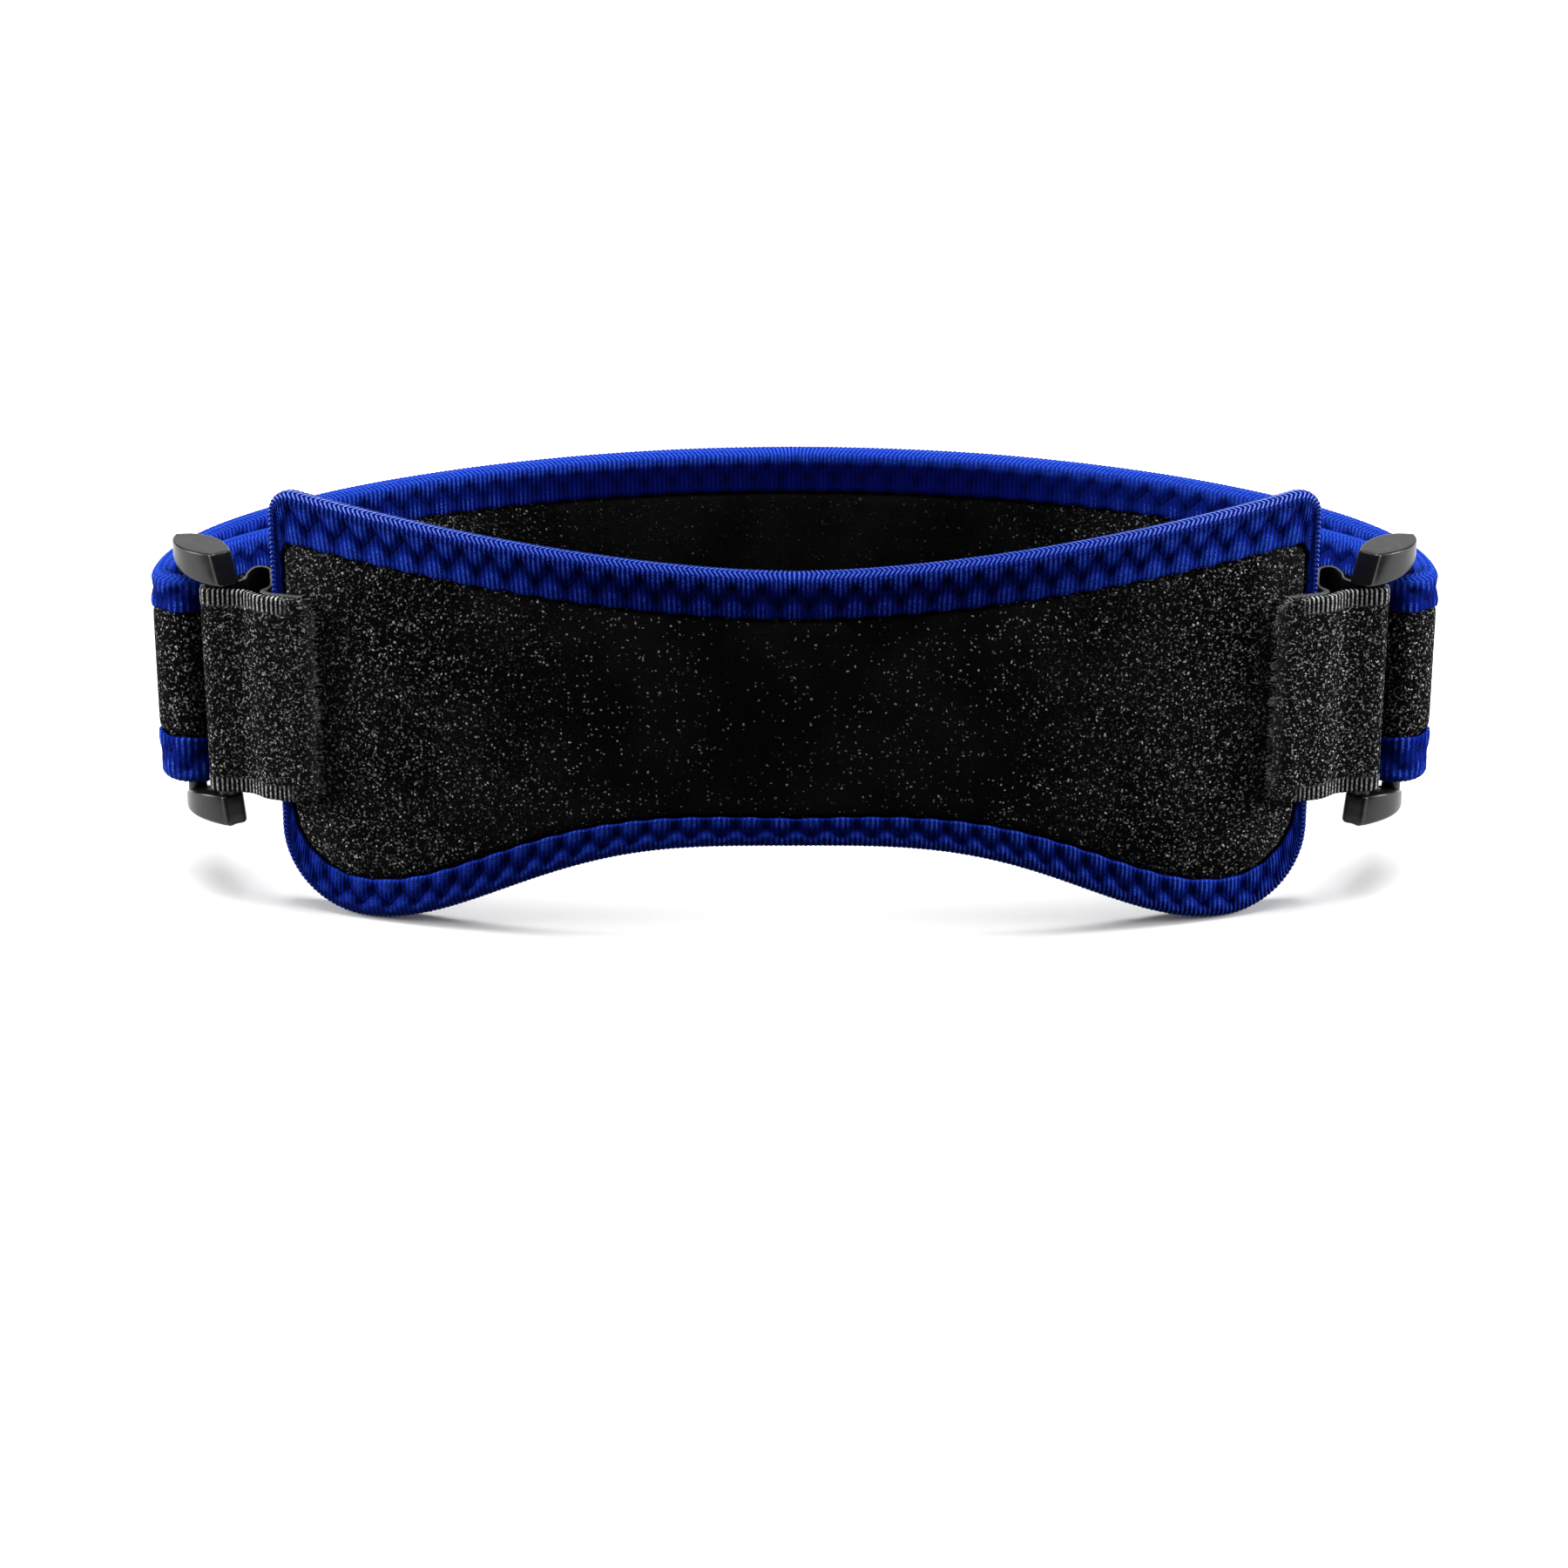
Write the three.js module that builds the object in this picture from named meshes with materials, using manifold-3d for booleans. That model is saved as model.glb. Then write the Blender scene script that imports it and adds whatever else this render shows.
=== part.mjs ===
// Patella strap: an upright loop of a bow-tie front pad, a rear pad whose ends turn through two ring
// buckles, and two webbing straps that join the buckles to the front pad. Both pads have bound edges.
// Millimetres, Z up. The front pad faces -Y and the loop stands on its lower edges.
import * as THREE from 'three';
import { mergeVertices } from 'three/addons/utils/BufferGeometryUtils.js';
import Module from 'manifold-3d';

const wasm = await Module();
wasm.setup();

// Clearance between pieces that lie on each other.
const GAP = 0.3;
// Height of the middle of the straps, the buckles and the rear pad.
const MIDDLE_HEIGHT = 41.2;

// Front pad: its mid-surface is an arc in plan, and its outline is set out along that arc.
const FRONT_LENGTH = 185.4;
const FRONT_ARC_RADIUS = 298;
const FRONT_DEPTH = 27.8;
const FRONT_HALF_THICKNESS = 2.2;
const WAIST_TOP = 67.6;
const WAIST_BOTTOM = 17.3;
const UPPER_RISE = 10.6;
const UPPER_REACH = 88;
const LOBE_REACH = 76;
const UPPER_CORNER = 4;
const LOWER_CORNER = 16;

// Bound edges: the tape is folded over the edge, and its lips lie on both faces.
const TAPE_THICKNESS = 0.7;
const UPPER_LIP = 7.8;
const UPPER_LIP_GROWTH = 0.9;
const LOWER_LIP = 5.6;
const LOWER_LIP_GROWTH = 2;
const SIDE_LIP = 2.6;
const LIP_CORNER = 2.5;
const FOLD_DEPTH = 1.55;
const INNER_FOLD_DEPTH = 1;
const PAD_EDGE_DEPTH = 0.9;

// The face of a pad swells to just proud of the lips.
const SWELL = 0.05;
const SHOULDER_START = 0.35;
const SHOULDER_TOP = 0.85;
const SHOULDER_LOSS = 0.35;
const SWELL_REACH = 3;

// Rear pad: half an ellipse in plan, tall at the back and narrow where it turns through the buckles.
const REAR_DEPTH = 49.8;
const REAR_HALF_THICKNESS = 2.2;
const REAR_UPPER_HEIGHT = 26;
const REAR_LOWER_HEIGHT = 28;
const REAR_LIP = 8;
const TAB_HALF_THICKNESS = 1.75;
const TAB_SIDE_GAP = 0.4;
const TAB_LIP = 8;
const TAB_TURN_RADIUS = 4.6;
const TAB_RETURN_LENGTH = 32;
const TAB_CLOSING_LENGTH = 14;
const THICKENING_START = 0.22;
const THICKENING_END = 0.4;

// Buckle: two leaf-shaped ends joined by a bar for the strap and a bar for the tab. The strap bar stands
// off the end of the front pad, and the ends leave room for the webbing between them.
const STRAP_BAR_REACH = 10.1;
const STRAP_BAR_SETBACK = 1.2;
const BAR_SPACING = 9.8;
const BUCKLE_ANGLE = 49.1;
const STRAP_BAR_RADIUS = 1.3;
const TAB_BAR_RADIUS = 1.2;
const BUCKLE_SIDE_ROOM = 0.9;
const BUCKLE_END_HEIGHT = 5.5;
const BUCKLE_TIP_REACH = 2.9;
const BUCKLE_FLAT_REACH = 2;
const BUCKLE_FLAT_WIDTH = 4.4;
const BUCKLE_BEVEL = 0.45;

// Strap: webbing sewn on the front pad, slack in an arch, round the strap bar and back onto the pad.
const WEBBING_WIDTH = 38;
const WEBBING_THICKNESS = 1.4;
const WEBBING_EDGE_ROUND = 0.25;
const SEWN_LENGTH = 6.6;
const OVERLAP_LENGTH = 8.3;
const ARCH_DEPTH = 12.1;
const ARCH_OFFSET = 3.6;
const ARCH_NEAR_LEG = 1.8;
const ARCH_FAR_LEG = 5.1;
const END_CORNER_CUT = 2.4;
const END_CORNER_LENGTH = 3.4;

// The cloth edges are pressed flat where they meet the surface.
const REST_PRESS = 0.35;

const FABRIC = { color: 0x0e0e10, roughness: 0.95, metalness: 0 };
const TAPE = { color: 0x1b2f86, roughness: 0.7, metalness: 0 };
const WEBBING = { color: 0x1d1d1f, roughness: 0.9, metalness: 0 };
const PLASTIC = { color: 0x232426, roughness: 0.35, metalness: 0 };

function smoothStep(from, to, value) {
  const share = Math.min(Math.max((value - from) / (to - from), 0), 1);
  return share * share * (3 - 2 * share);
}

function signedVolume(positions, indices) {
  let volume = 0;
  const corners = [new THREE.Vector3(), new THREE.Vector3(), new THREE.Vector3()];
  for (let i = 0; i < indices.length; i += 3) {
    corners.forEach((corner, k) => corner.fromArray(positions, 3 * indices[i + k]));
    volume += corners[0].dot(corners[1].clone().cross(corners[2])) / 6;
  }
  return volume;
}

// Skins rings of equal length into one closed body. Joined rings run round to the first one. Other rings
// are closed at both ends by a ladder between the first and the second half of the ring.
function skin(rings, joined) {
  const count = rings[0].length;
  const positions = rings.flat().flatMap((point) => [point.x, point.y, point.z]);
  const indices = [];
  const bands = joined ? rings.length : rings.length - 1;
  for (let ring = 0; ring < bands; ring += 1) {
    const here = ring * count;
    const there = ((ring + 1) % rings.length) * count;
    for (let k = 0; k < count; k += 1) {
      const next = (k + 1) % count;
      indices.push(here + k, here + next, there + next);
      indices.push(here + k, there + next, there + k);
    }
  }
  if (!joined) {
    const last = (rings.length - 1) * count;
    for (let k = 0; k < count / 2 - 1; k += 1) {
      const across = count - 1 - k;
      indices.push(k, across, across - 1);
      indices.push(k, across - 1, k + 1);
      indices.push(last + k, last + across - 1, last + across);
      indices.push(last + k, last + k + 1, last + across - 1);
    }
  }
  if (signedVolume(positions, indices) < 0) {
    for (let i = 0; i < indices.length; i += 3) {
      [indices[i + 1], indices[i + 2]] = [indices[i + 2], indices[i + 1]];
    }
  }
  const geometry = new THREE.BufferGeometry();
  geometry.setAttribute('position', new THREE.Float32BufferAttribute(positions, 3));
  geometry.setIndex(indices);
  return geometry;
}

function mirrored(geometry) {
  const positions = Array.from(geometry.getAttribute('position').array);
  const indices = Array.from(geometry.index.array);
  for (let i = 0; i < positions.length; i += 3) {
    positions[i] = -positions[i];
  }
  for (let i = 0; i < indices.length; i += 3) {
    [indices[i + 1], indices[i + 2]] = [indices[i + 2], indices[i + 1]];
  }
  const result = new THREE.BufferGeometry();
  result.setAttribute('position', new THREE.Float32BufferAttribute(positions, 3));
  result.setIndex(indices);
  return result;
}

// Section of the folded tape from one lip over the edge to the other lip and back along the inside.
// Depth is measured inwards from the edge, offset from the middle of the thickness.
function tapeSection(halfThickness) {
  const inside = halfThickness - TAPE_THICKNESS;
  const section = [{ lip: true, offset: halfThickness }];
  for (const angle of [90, 50, 17, -17, -50, -90]) {
    const turn = THREE.MathUtils.degToRad(angle);
    section.push({ depth: FOLD_DEPTH * (1 - Math.cos(turn)), offset: halfThickness * Math.sin(turn) });
  }
  section.push({ lip: true, offset: -halfThickness });
  section.push({ lip: true, offset: -inside });
  for (const angle of [-90, -35, 35, 90]) {
    const turn = THREE.MathUtils.degToRad(angle);
    const depth = TAPE_THICKNESS + INNER_FOLD_DEPTH * (1 - Math.cos(turn));
    section.push({ depth, offset: inside * Math.sin(turn) });
  }
  section.push({ lip: true, offset: inside });
  return section;
}

// One side of a pad's section, from its edge to the swollen face beyond the lip.
function padSection(halfThickness) {
  const edge = halfThickness - TAPE_THICKNESS - GAP;
  const start = TAPE_THICKNESS + GAP;
  const face = halfThickness + SWELL;
  const turn = THREE.MathUtils.degToRad(30);
  return [
    { depth: start + PAD_EDGE_DEPTH * (1 - Math.cos(turn)), offset: edge * Math.sin(turn) },
    { depth: start + PAD_EDGE_DEPTH, offset: edge },
    { lip: true, beyond: SHOULDER_START, offset: edge },
    { lip: true, beyond: SHOULDER_TOP, offset: face - SHOULDER_LOSS },
    { lip: true, beyond: SWELL_REACH, offset: face },
  ];
}

// Upper edge of the front pad: lowest at the waist, rising towards both ends.
function upperEdge(along) {
  return WAIST_TOP + UPPER_RISE * Math.min(Math.abs(along) / UPPER_REACH, 1) ** 1.6;
}

// Lower edge of the front pad: highest at the waist, down to the lobes that it stands on.
function lowerEdge(along) {
  const share = Math.min(Math.abs(along) / LOBE_REACH, 1) ** 1.55;
  return (WAIST_BOTTOM * (1 + Math.cos(Math.PI * share))) / 2;
}

function steepness(edge, along) {
  const slope = edge(along + 0.5) - edge(along - 0.5);
  return Math.sqrt(1 + slope * slope);
}

// How far in from the edges a ring of the front pad or of its tape runs.
function ringInset(point) {
  if (!point.lip) {
    return {
      upper: () => point.depth,
      side: point.depth,
      lower: () => point.depth,
      upperCorner: UPPER_CORNER - point.depth,
      lowerCorner: LOWER_CORNER - point.depth,
    };
  }
  const beyond = point.beyond ?? 0;
  return {
    upper: (along) => UPPER_LIP + UPPER_LIP_GROWTH * Math.min(Math.abs(along) / UPPER_REACH, 1) + beyond,
    side: SIDE_LIP + beyond,
    lower: (along) => LOWER_LIP + LOWER_LIP_GROWTH * Math.min(Math.abs(along) / LOBE_REACH, 1) + beyond,
    upperCorner: LIP_CORNER,
    lowerCorner: LOWER_CORNER - SIDE_LIP - beyond,
  };
}

// Left half of one edge, from the middle of the left side round the corner to the waist.
function edgeRun(height, left, middle, radius, cornerSteps, edgeSteps) {
  const corner = { along: left, height: height(left) };
  const side = Math.sign(corner.height - middle);
  const start = { along: left, height: corner.height - side * radius };
  const end = { along: left + radius, height: height(left + radius) };
  const run = [0.12, 0.55].map((share) => ({
    along: left,
    height: middle + share * (start.height - middle),
  }));
  for (let step = 0; step <= cornerSteps; step += 1) {
    const share = step / cornerSteps;
    const first = (1 - share) ** 2;
    const pull = Math.SQRT2 * share * (1 - share);
    const last = share ** 2;
    const sum = first + pull + last;
    run.push({
      along: (first * start.along + pull * corner.along + last * end.along) / sum,
      height: (first * start.height + pull * corner.height + last * end.height) / sum,
    });
  }
  for (let step = 1; step <= edgeSteps; step += 1) {
    const along = end.along * (1 - step / edgeSteps);
    run.push({ along, height: height(along) });
  }
  return run;
}

function across(run) {
  return run.map((point) => ({ along: -point.along, height: point.height }));
}

// Closed outline of the front pad for one ring, from the middle of the left side over the top.
function frontOutline(inset) {
  const left = -(FRONT_LENGTH / 2 - inset.side);
  const upper = (along) => upperEdge(along) - inset.upper(along) * steepness(upperEdge, along);
  const lower = (along) => lowerEdge(along) + inset.lower(along) * steepness(lowerEdge, along);
  const middle = (upperEdge(left) + lowerEdge(left)) / 2;
  const upperRun = edgeRun(upper, left, middle, inset.upperCorner, 4, 10);
  const lowerRun = edgeRun(lower, left, middle, inset.lowerCorner, 6, 8);
  return [
    ...upperRun,
    ...across(upperRun).slice(0, -1).reverse(),
    ...across(lowerRun),
    ...lowerRun.slice(0, -1).reverse(),
  ];
}

// A point of the front pad: along its arc, at a height, offset outwards from the mid-surface.
function frontPoint(along, height, offset) {
  const turn = along / FRONT_ARC_RADIUS;
  const radius = FRONT_ARC_RADIUS + offset;
  const centre = FRONT_ARC_RADIUS - FRONT_DEPTH;
  return new THREE.Vector3(radius * Math.sin(turn), centre - radius * Math.cos(turn), height);
}

function frontRing(point) {
  return frontOutline(ringInset(point)).map((at) => frontPoint(at.along, at.height, point.offset));
}

function frontPad() {
  const front = padSection(FRONT_HALF_THICKNESS);
  const back = front.map((point) => ({ ...point, offset: -point.offset })).reverse();
  return skin([...back, ...front].map(frontRing), false);
}

function frontBinding() {
  return skin(tapeSection(FRONT_HALF_THICKNESS).map(frontRing), true);
}

// Plan points of the left buckle.
function buckleAxis() {
  const turn = THREE.MathUtils.degToRad(BUCKLE_ANGLE);
  return new THREE.Vector2(Math.cos(turn), -Math.sin(turn));
}

function strapBar() {
  const end = frontPoint(-FRONT_LENGTH / 2, 0, 0);
  return new THREE.Vector2(end.x - STRAP_BAR_REACH, end.y + STRAP_BAR_SETBACK);
}

// Half the height of the opening between the ends of the buckle.
function buckleOpening() {
  return WEBBING_WIDTH / 2 + BUCKLE_SIDE_ROOM;
}

function buckleHalfHeight() {
  return buckleOpening() + BUCKLE_END_HEIGHT;
}

function tabBar() {
  return strapBar().addScaledVector(buckleAxis(), -BAR_SPACING);
}

// The tab is pulled back until the inside of its turn meets the tab bar.
function tabTurnCentre() {
  const slack = TAB_TURN_RADIUS - TAB_HALF_THICKNESS - TAB_BAR_RADIUS - GAP;
  return tabBar().add(new THREE.Vector2(0, slack));
}

function rearCurve() {
  const centre = tabTurnCentre();
  const across = TAB_TURN_RADIUS - centre.x;
  const back = REAR_DEPTH - centre.y;
  return new THREE.EllipseCurve(0, centre.y, across, back, Math.PI, Math.PI / 2, true, 0);
}

// Plan points of the rear pad's left half with the size of its section, from the end of the folded
// tab round the tab bar to the middle of the back.
function rearHalf() {
  const curve = rearCurve();
  const length = curve.getLength();
  const centre = tabTurnCentre();
  const closed = 2 * TAB_HALF_THICKNESS + GAP + 0.05;
  const tabHalfHeight = buckleOpening() - TAB_SIDE_GAP;
  const tab = {
    upper: tabHalfHeight,
    lower: tabHalfHeight,
    halfThickness: TAB_HALF_THICKNESS,
    lip: TAB_LIP,
  };
  const stations = [];
  for (let step = 0; step < 6; step += 1) {
    const distance = TAB_RETURN_LENGTH * (1 - step / 6);
    const at = curve.getPointAt(distance / length);
    const tangent = curve.getTangentAt(distance / length);
    const open = 1 - smoothStep(0, TAB_CLOSING_LENGTH, distance);
    const inwards = closed + (2 * TAB_TURN_RADIUS - closed) * open;
    stations.push({ x: at.x + tangent.y * inwards, y: at.y - tangent.x * inwards, ...tab });
  }
  for (let step = 0; step <= 8; step += 1) {
    const turn = (Math.PI * step) / 8;
    const x = centre.x + TAB_TURN_RADIUS * Math.cos(turn);
    const y = centre.y - TAB_TURN_RADIUS * Math.sin(turn);
    stations.push({ x, y, ...tab });
  }
  for (let step = 1; step <= 15; step += 1) {
    const share = step / 15;
    const at = curve.getPointAt(share);
    const grown = Math.sin((Math.PI / 2) * share);
    const thick = smoothStep(THICKENING_START, THICKENING_END, share);
    stations.push({
      x: at.x,
      y: at.y,
      upper: tabHalfHeight + (REAR_UPPER_HEIGHT - tabHalfHeight) * grown,
      lower: tabHalfHeight + (REAR_LOWER_HEIGHT - tabHalfHeight) * grown,
      halfThickness: TAB_HALF_THICKNESS + (REAR_HALF_THICKNESS - TAB_HALF_THICKNESS) * thick,
      lip: TAB_LIP + (REAR_LIP - TAB_LIP) * grown,
    });
  }
  return stations;
}

// The normal of each station points out of the loop, and round the turn it points away from the bar.
function rearStations() {
  const half = rearHalf();
  const other = half.slice(0, -1).map((station) => ({ ...station, x: -station.x }));
  const stations = [...half, ...other.reverse()];
  return stations.map((station, index) => {
    const before = stations[Math.max(index - 1, 0)];
    const after = stations[Math.min(index + 1, stations.length - 1)];
    const run = new THREE.Vector2(after.x - before.x, after.y - before.y).normalize();
    return { ...station, normalX: -run.y, normalY: run.x };
  });
}

function rearPoint(station, height, offset) {
  return new THREE.Vector3(
    station.x + station.normalX * offset,
    station.y + station.normalY * offset,
    MIDDLE_HEIGHT + height,
  );
}

function depthAt(station, point) {
  return point.lip ? station.lip + (point.beyond ?? 0) : point.depth;
}

function rearPad() {
  const rings = rearStations().map((station) => {
    const side = padSection(station.halfThickness);
    const down = [
      ...side.map((point) => [station.upper - depthAt(station, point), point.offset]),
      ...side.map((point) => [depthAt(station, point) - station.lower, point.offset]).reverse(),
    ];
    const up = down.map(([height, offset]) => [height, -offset]).reverse();
    return [...down, ...up].map(([height, offset]) => rearPoint(station, height, offset));
  });
  return skin(rings, false);
}

function rearBinding(side) {
  const rings = rearStations().map((station) =>
    tapeSection(station.halfThickness).map((point) => {
      const edge = side > 0 ? station.upper : station.lower;
      const height = side * (edge - depthAt(station, point));
      return rearPoint(station, height, point.offset);
    }),
  );
  return skin(rings, false);
}

// Plan path of the left strap's middle: from its sewn end on the pad over the pad's edge, through the
// slack arch, round the strap bar and back over itself to its free end on the pad.
function strapPath() {
  const half = WEBBING_THICKNESS / 2;
  const end = FRONT_LENGTH / 2;
  const first = FRONT_HALF_THICKNESS + SWELL + GAP + half;
  const second = first + WEBBING_THICKNESS + GAP;
  const edge = frontPoint(-end, 0, 0);
  const bar = strapBar();
  const axis = buckleAxis();
  const inwards = new THREE.Vector2(-axis.y, axis.x);
  const round = STRAP_BAR_RADIUS + GAP + half;
  const points = [
    frontPoint(-(end - SEWN_LENGTH), 0, first),
    frontPoint(-(end - SEWN_LENGTH / 2), 0, first),
    frontPoint(-(end - 0.6), 0, first),
    frontPoint(-(end + 1.1), 0, 0.72 * first),
    frontPoint(-(end + 1.45), 0, -0.15 * first),
    new THREE.Vector3(edge.x - ARCH_NEAR_LEG, edge.y + 0.5 * ARCH_DEPTH, 0),
    new THREE.Vector3(edge.x - ARCH_OFFSET + 0.7, edge.y + 0.93 * ARCH_DEPTH, 0),
    new THREE.Vector3(edge.x - ARCH_OFFSET - 0.5, edge.y + 0.97 * ARCH_DEPTH, 0),
    new THREE.Vector3(edge.x - ARCH_FAR_LEG, edge.y + 0.72 * ARCH_DEPTH, 0),
    new THREE.Vector3(edge.x - ARCH_FAR_LEG - 0.2, edge.y + 0.42 * ARCH_DEPTH, 0),
  ];
  for (const degrees of [75, 115, 155, 195, 235, 275]) {
    const turn = THREE.MathUtils.degToRad(degrees - 90);
    const at = bar.clone();
    at.addScaledVector(inwards, round * Math.cos(turn));
    at.addScaledVector(axis, -round * Math.sin(turn));
    points.push(new THREE.Vector3(at.x, at.y, 0));
  }
  points.push(frontPoint(-(end + 4.2), 0, second - 1.7));
  points.push(frontPoint(-(end + 0.4), 0, second - 0.1));
  points.push(frontPoint(-(end - SEWN_LENGTH / 2), 0, second));
  points.push(frontPoint(-(end - SEWN_LENGTH), 0, second));
  points.push(frontPoint(-(end - OVERLAP_LENGTH), 0, second - 0.3));
  return new THREE.CatmullRomCurve3(points, false, 'centripetal');
}

function strap() {
  const path = strapPath();
  const steps = 46;
  const length = path.getLength();
  const half = WEBBING_THICKNESS / 2;
  const flat = half - WEBBING_EDGE_ROUND;
  const rings = [];
  for (let step = 0; step <= steps; step += 1) {
    const share = step / steps;
    const at = path.getPointAt(share);
    const run = path.getTangentAt(share);
    const normal = new THREE.Vector3(-run.y, run.x, 0).normalize();
    const left = length * (1 - share);
    const cut = END_CORNER_CUT * (1 - smoothStep(0, END_CORNER_LENGTH, left));
    const top = WEBBING_WIDTH / 2 - cut;
    const bottom = -WEBBING_WIDTH / 2;
    const section = [
      [top, flat],
      [top - WEBBING_EDGE_ROUND, half],
      [bottom + WEBBING_EDGE_ROUND, half],
      [bottom, flat],
      [bottom, -flat],
      [bottom + WEBBING_EDGE_ROUND, -half],
      [top - WEBBING_EDGE_ROUND, -half],
      [top, -flat],
    ];
    rings.push(
      section.map(([height, offset]) => {
        const point = at.clone().addScaledVector(normal, offset);
        point.z = MIDDLE_HEIGHT + height;
        return point;
      }),
    );
  }
  return skin(rings, false);
}

function toManifold(geometry) {
  const bare = geometry.clone();
  bare.deleteAttribute('normal');
  bare.deleteAttribute('uv');
  const merged = mergeVertices(bare, 1e-4);
  const vertProperties = new Float32Array(merged.getAttribute('position').array);
  const triVerts = new Uint32Array(merged.index.array);
  return new wasm.Manifold(new wasm.Mesh({ numProp: 3, vertProperties, triVerts }));
}

function fromManifold(solid) {
  const mesh = solid.getMesh();
  const geometry = new THREE.BufferGeometry();
  geometry.setAttribute('position', new THREE.Float32BufferAttribute(Array.from(mesh.vertProperties), 3));
  geometry.setIndex(Array.from(mesh.triVerts));
  return geometry;
}

// Leaf outline of a buckle end in its own axes: pointed past the tab bar, cut flat past the strap bar.
function leafShape() {
  const tip = -(BAR_SPACING + BUCKLE_TIP_REACH) + BUCKLE_BEVEL;
  const flat = BUCKLE_FLAT_REACH - BUCKLE_BEVEL;
  const half = BUCKLE_FLAT_WIDTH / 2 - BUCKLE_BEVEL / 2;
  const length = flat - tip;
  const shape = new THREE.Shape();
  shape.moveTo(tip, 0);
  shape.bezierCurveTo(tip + 0.12 * length, 2.1 * half, tip + 0.55 * length, 2.4 * half, flat, half);
  shape.lineTo(flat, -half);
  shape.bezierCurveTo(tip + 0.65 * length, -2.1 * half, tip + 0.2 * length, -1.7 * half, tip, 0);
  return shape;
}

function buckleEnd(bottom) {
  const geometry = new THREE.ExtrudeGeometry(leafShape(), {
    depth: BUCKLE_END_HEIGHT - 2 * BUCKLE_BEVEL,
    bevelEnabled: true,
    bevelThickness: BUCKLE_BEVEL,
    bevelSize: BUCKLE_BEVEL,
    bevelSegments: 1,
    curveSegments: 7,
  });
  const bar = strapBar();
  geometry.rotateZ(THREE.MathUtils.degToRad(-BUCKLE_ANGLE));
  geometry.translate(bar.x, bar.y, bottom + BUCKLE_BEVEL);
  return toManifold(geometry);
}

function buckleBar(at, radius) {
  const length = 2 * buckleOpening() + BUCKLE_END_HEIGHT;
  const geometry = new THREE.CylinderGeometry(radius, radius, length, 14);
  geometry.rotateX(Math.PI / 2);
  geometry.translate(at.x, at.y, MIDDLE_HEIGHT);
  return toManifold(geometry);
}

function buckle() {
  const upper = buckleEnd(MIDDLE_HEIGHT + buckleOpening());
  const lower = buckleEnd(MIDDLE_HEIGHT - buckleHalfHeight());
  const bars = buckleBar(strapBar(), STRAP_BAR_RADIUS).add(buckleBar(tabBar(), TAB_BAR_RADIUS));
  return fromManifold(upper.add(lower).add(bars));
}

function piece(name, geometry, finish) {
  const mesh = new THREE.Mesh(geometry, new THREE.MeshStandardMaterial(finish));
  mesh.name = name;
  return mesh;
}

// Lowest height of some pieces after the loop leans back by an angle.
function lowest(meshes, lean) {
  let height = Infinity;
  for (const mesh of meshes) {
    const positions = mesh.geometry.getAttribute('position');
    for (let i = 0; i < positions.count; i += 1) {
      height = Math.min(height, positions.getZ(i) * Math.cos(lean) - positions.getY(i) * Math.sin(lean));
    }
  }
  return height;
}

// The loop leans back until its front lobes and the middle of its rear edge stand on one level.
function restingLean(front, rear) {
  let low = 0;
  let high = Math.PI / 6;
  for (let turn = 0; turn < 40; turn += 1) {
    const lean = (low + high) / 2;
    if (lowest(rear, lean) > lowest(front, lean)) {
      low = lean;
    } else {
      high = lean;
    }
  }
  return (low + high) / 2;
}

function standOnSurface(group, lean) {
  const level = lowest(group.children, lean) + REST_PRESS;
  for (const mesh of group.children) {
    mesh.geometry.rotateX(-lean);
    mesh.geometry.translate(0, 0, -level);
    const positions = mesh.geometry.getAttribute('position');
    for (let i = 0; i < positions.count; i += 1) {
      positions.setZ(i, Math.max(positions.getZ(i), 0));
    }
  }
  const centre = new THREE.Box3().setFromObject(group).getCenter(new THREE.Vector3());
  for (const mesh of group.children) {
    mesh.geometry.translate(-centre.x, -centre.y, 0);
    mesh.geometry.computeVertexNormals();
  }
}

const front = [
  piece('front_pad', frontPad(), FABRIC),
  piece('front_binding', frontBinding(), TAPE),
];
const rear = [
  piece('rear_pad', rearPad(), FABRIC),
  piece('rear_binding_upper', rearBinding(1), TAPE),
  piece('rear_binding_lower', rearBinding(-1), TAPE),
];
const fittings = [
  piece('strap_left', strap(), WEBBING),
  piece('strap_right', mirrored(strap()), WEBBING),
  piece('buckle_left', buckle(), PLASTIC),
  piece('buckle_right', mirrored(buckle()), PLASTIC),
];

const patellaStrap = new THREE.Group();
patellaStrap.name = 'patella_strap';
patellaStrap.add(...front, ...rear, ...fittings);
standOnSurface(patellaStrap, restingLean(front, rear));

export default patellaStrap;
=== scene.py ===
"""Patella strap: two bound foam pads, two webbing straps and two ring buckles, dressed over its solids.

Shapes are worked out in the loop's own upright frame, in millimetres: X across, the front pad facing -Y,
Z up from the lowest point of the front pad. They are then leaned back to stand as the solids stand.
"""
import math

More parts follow.
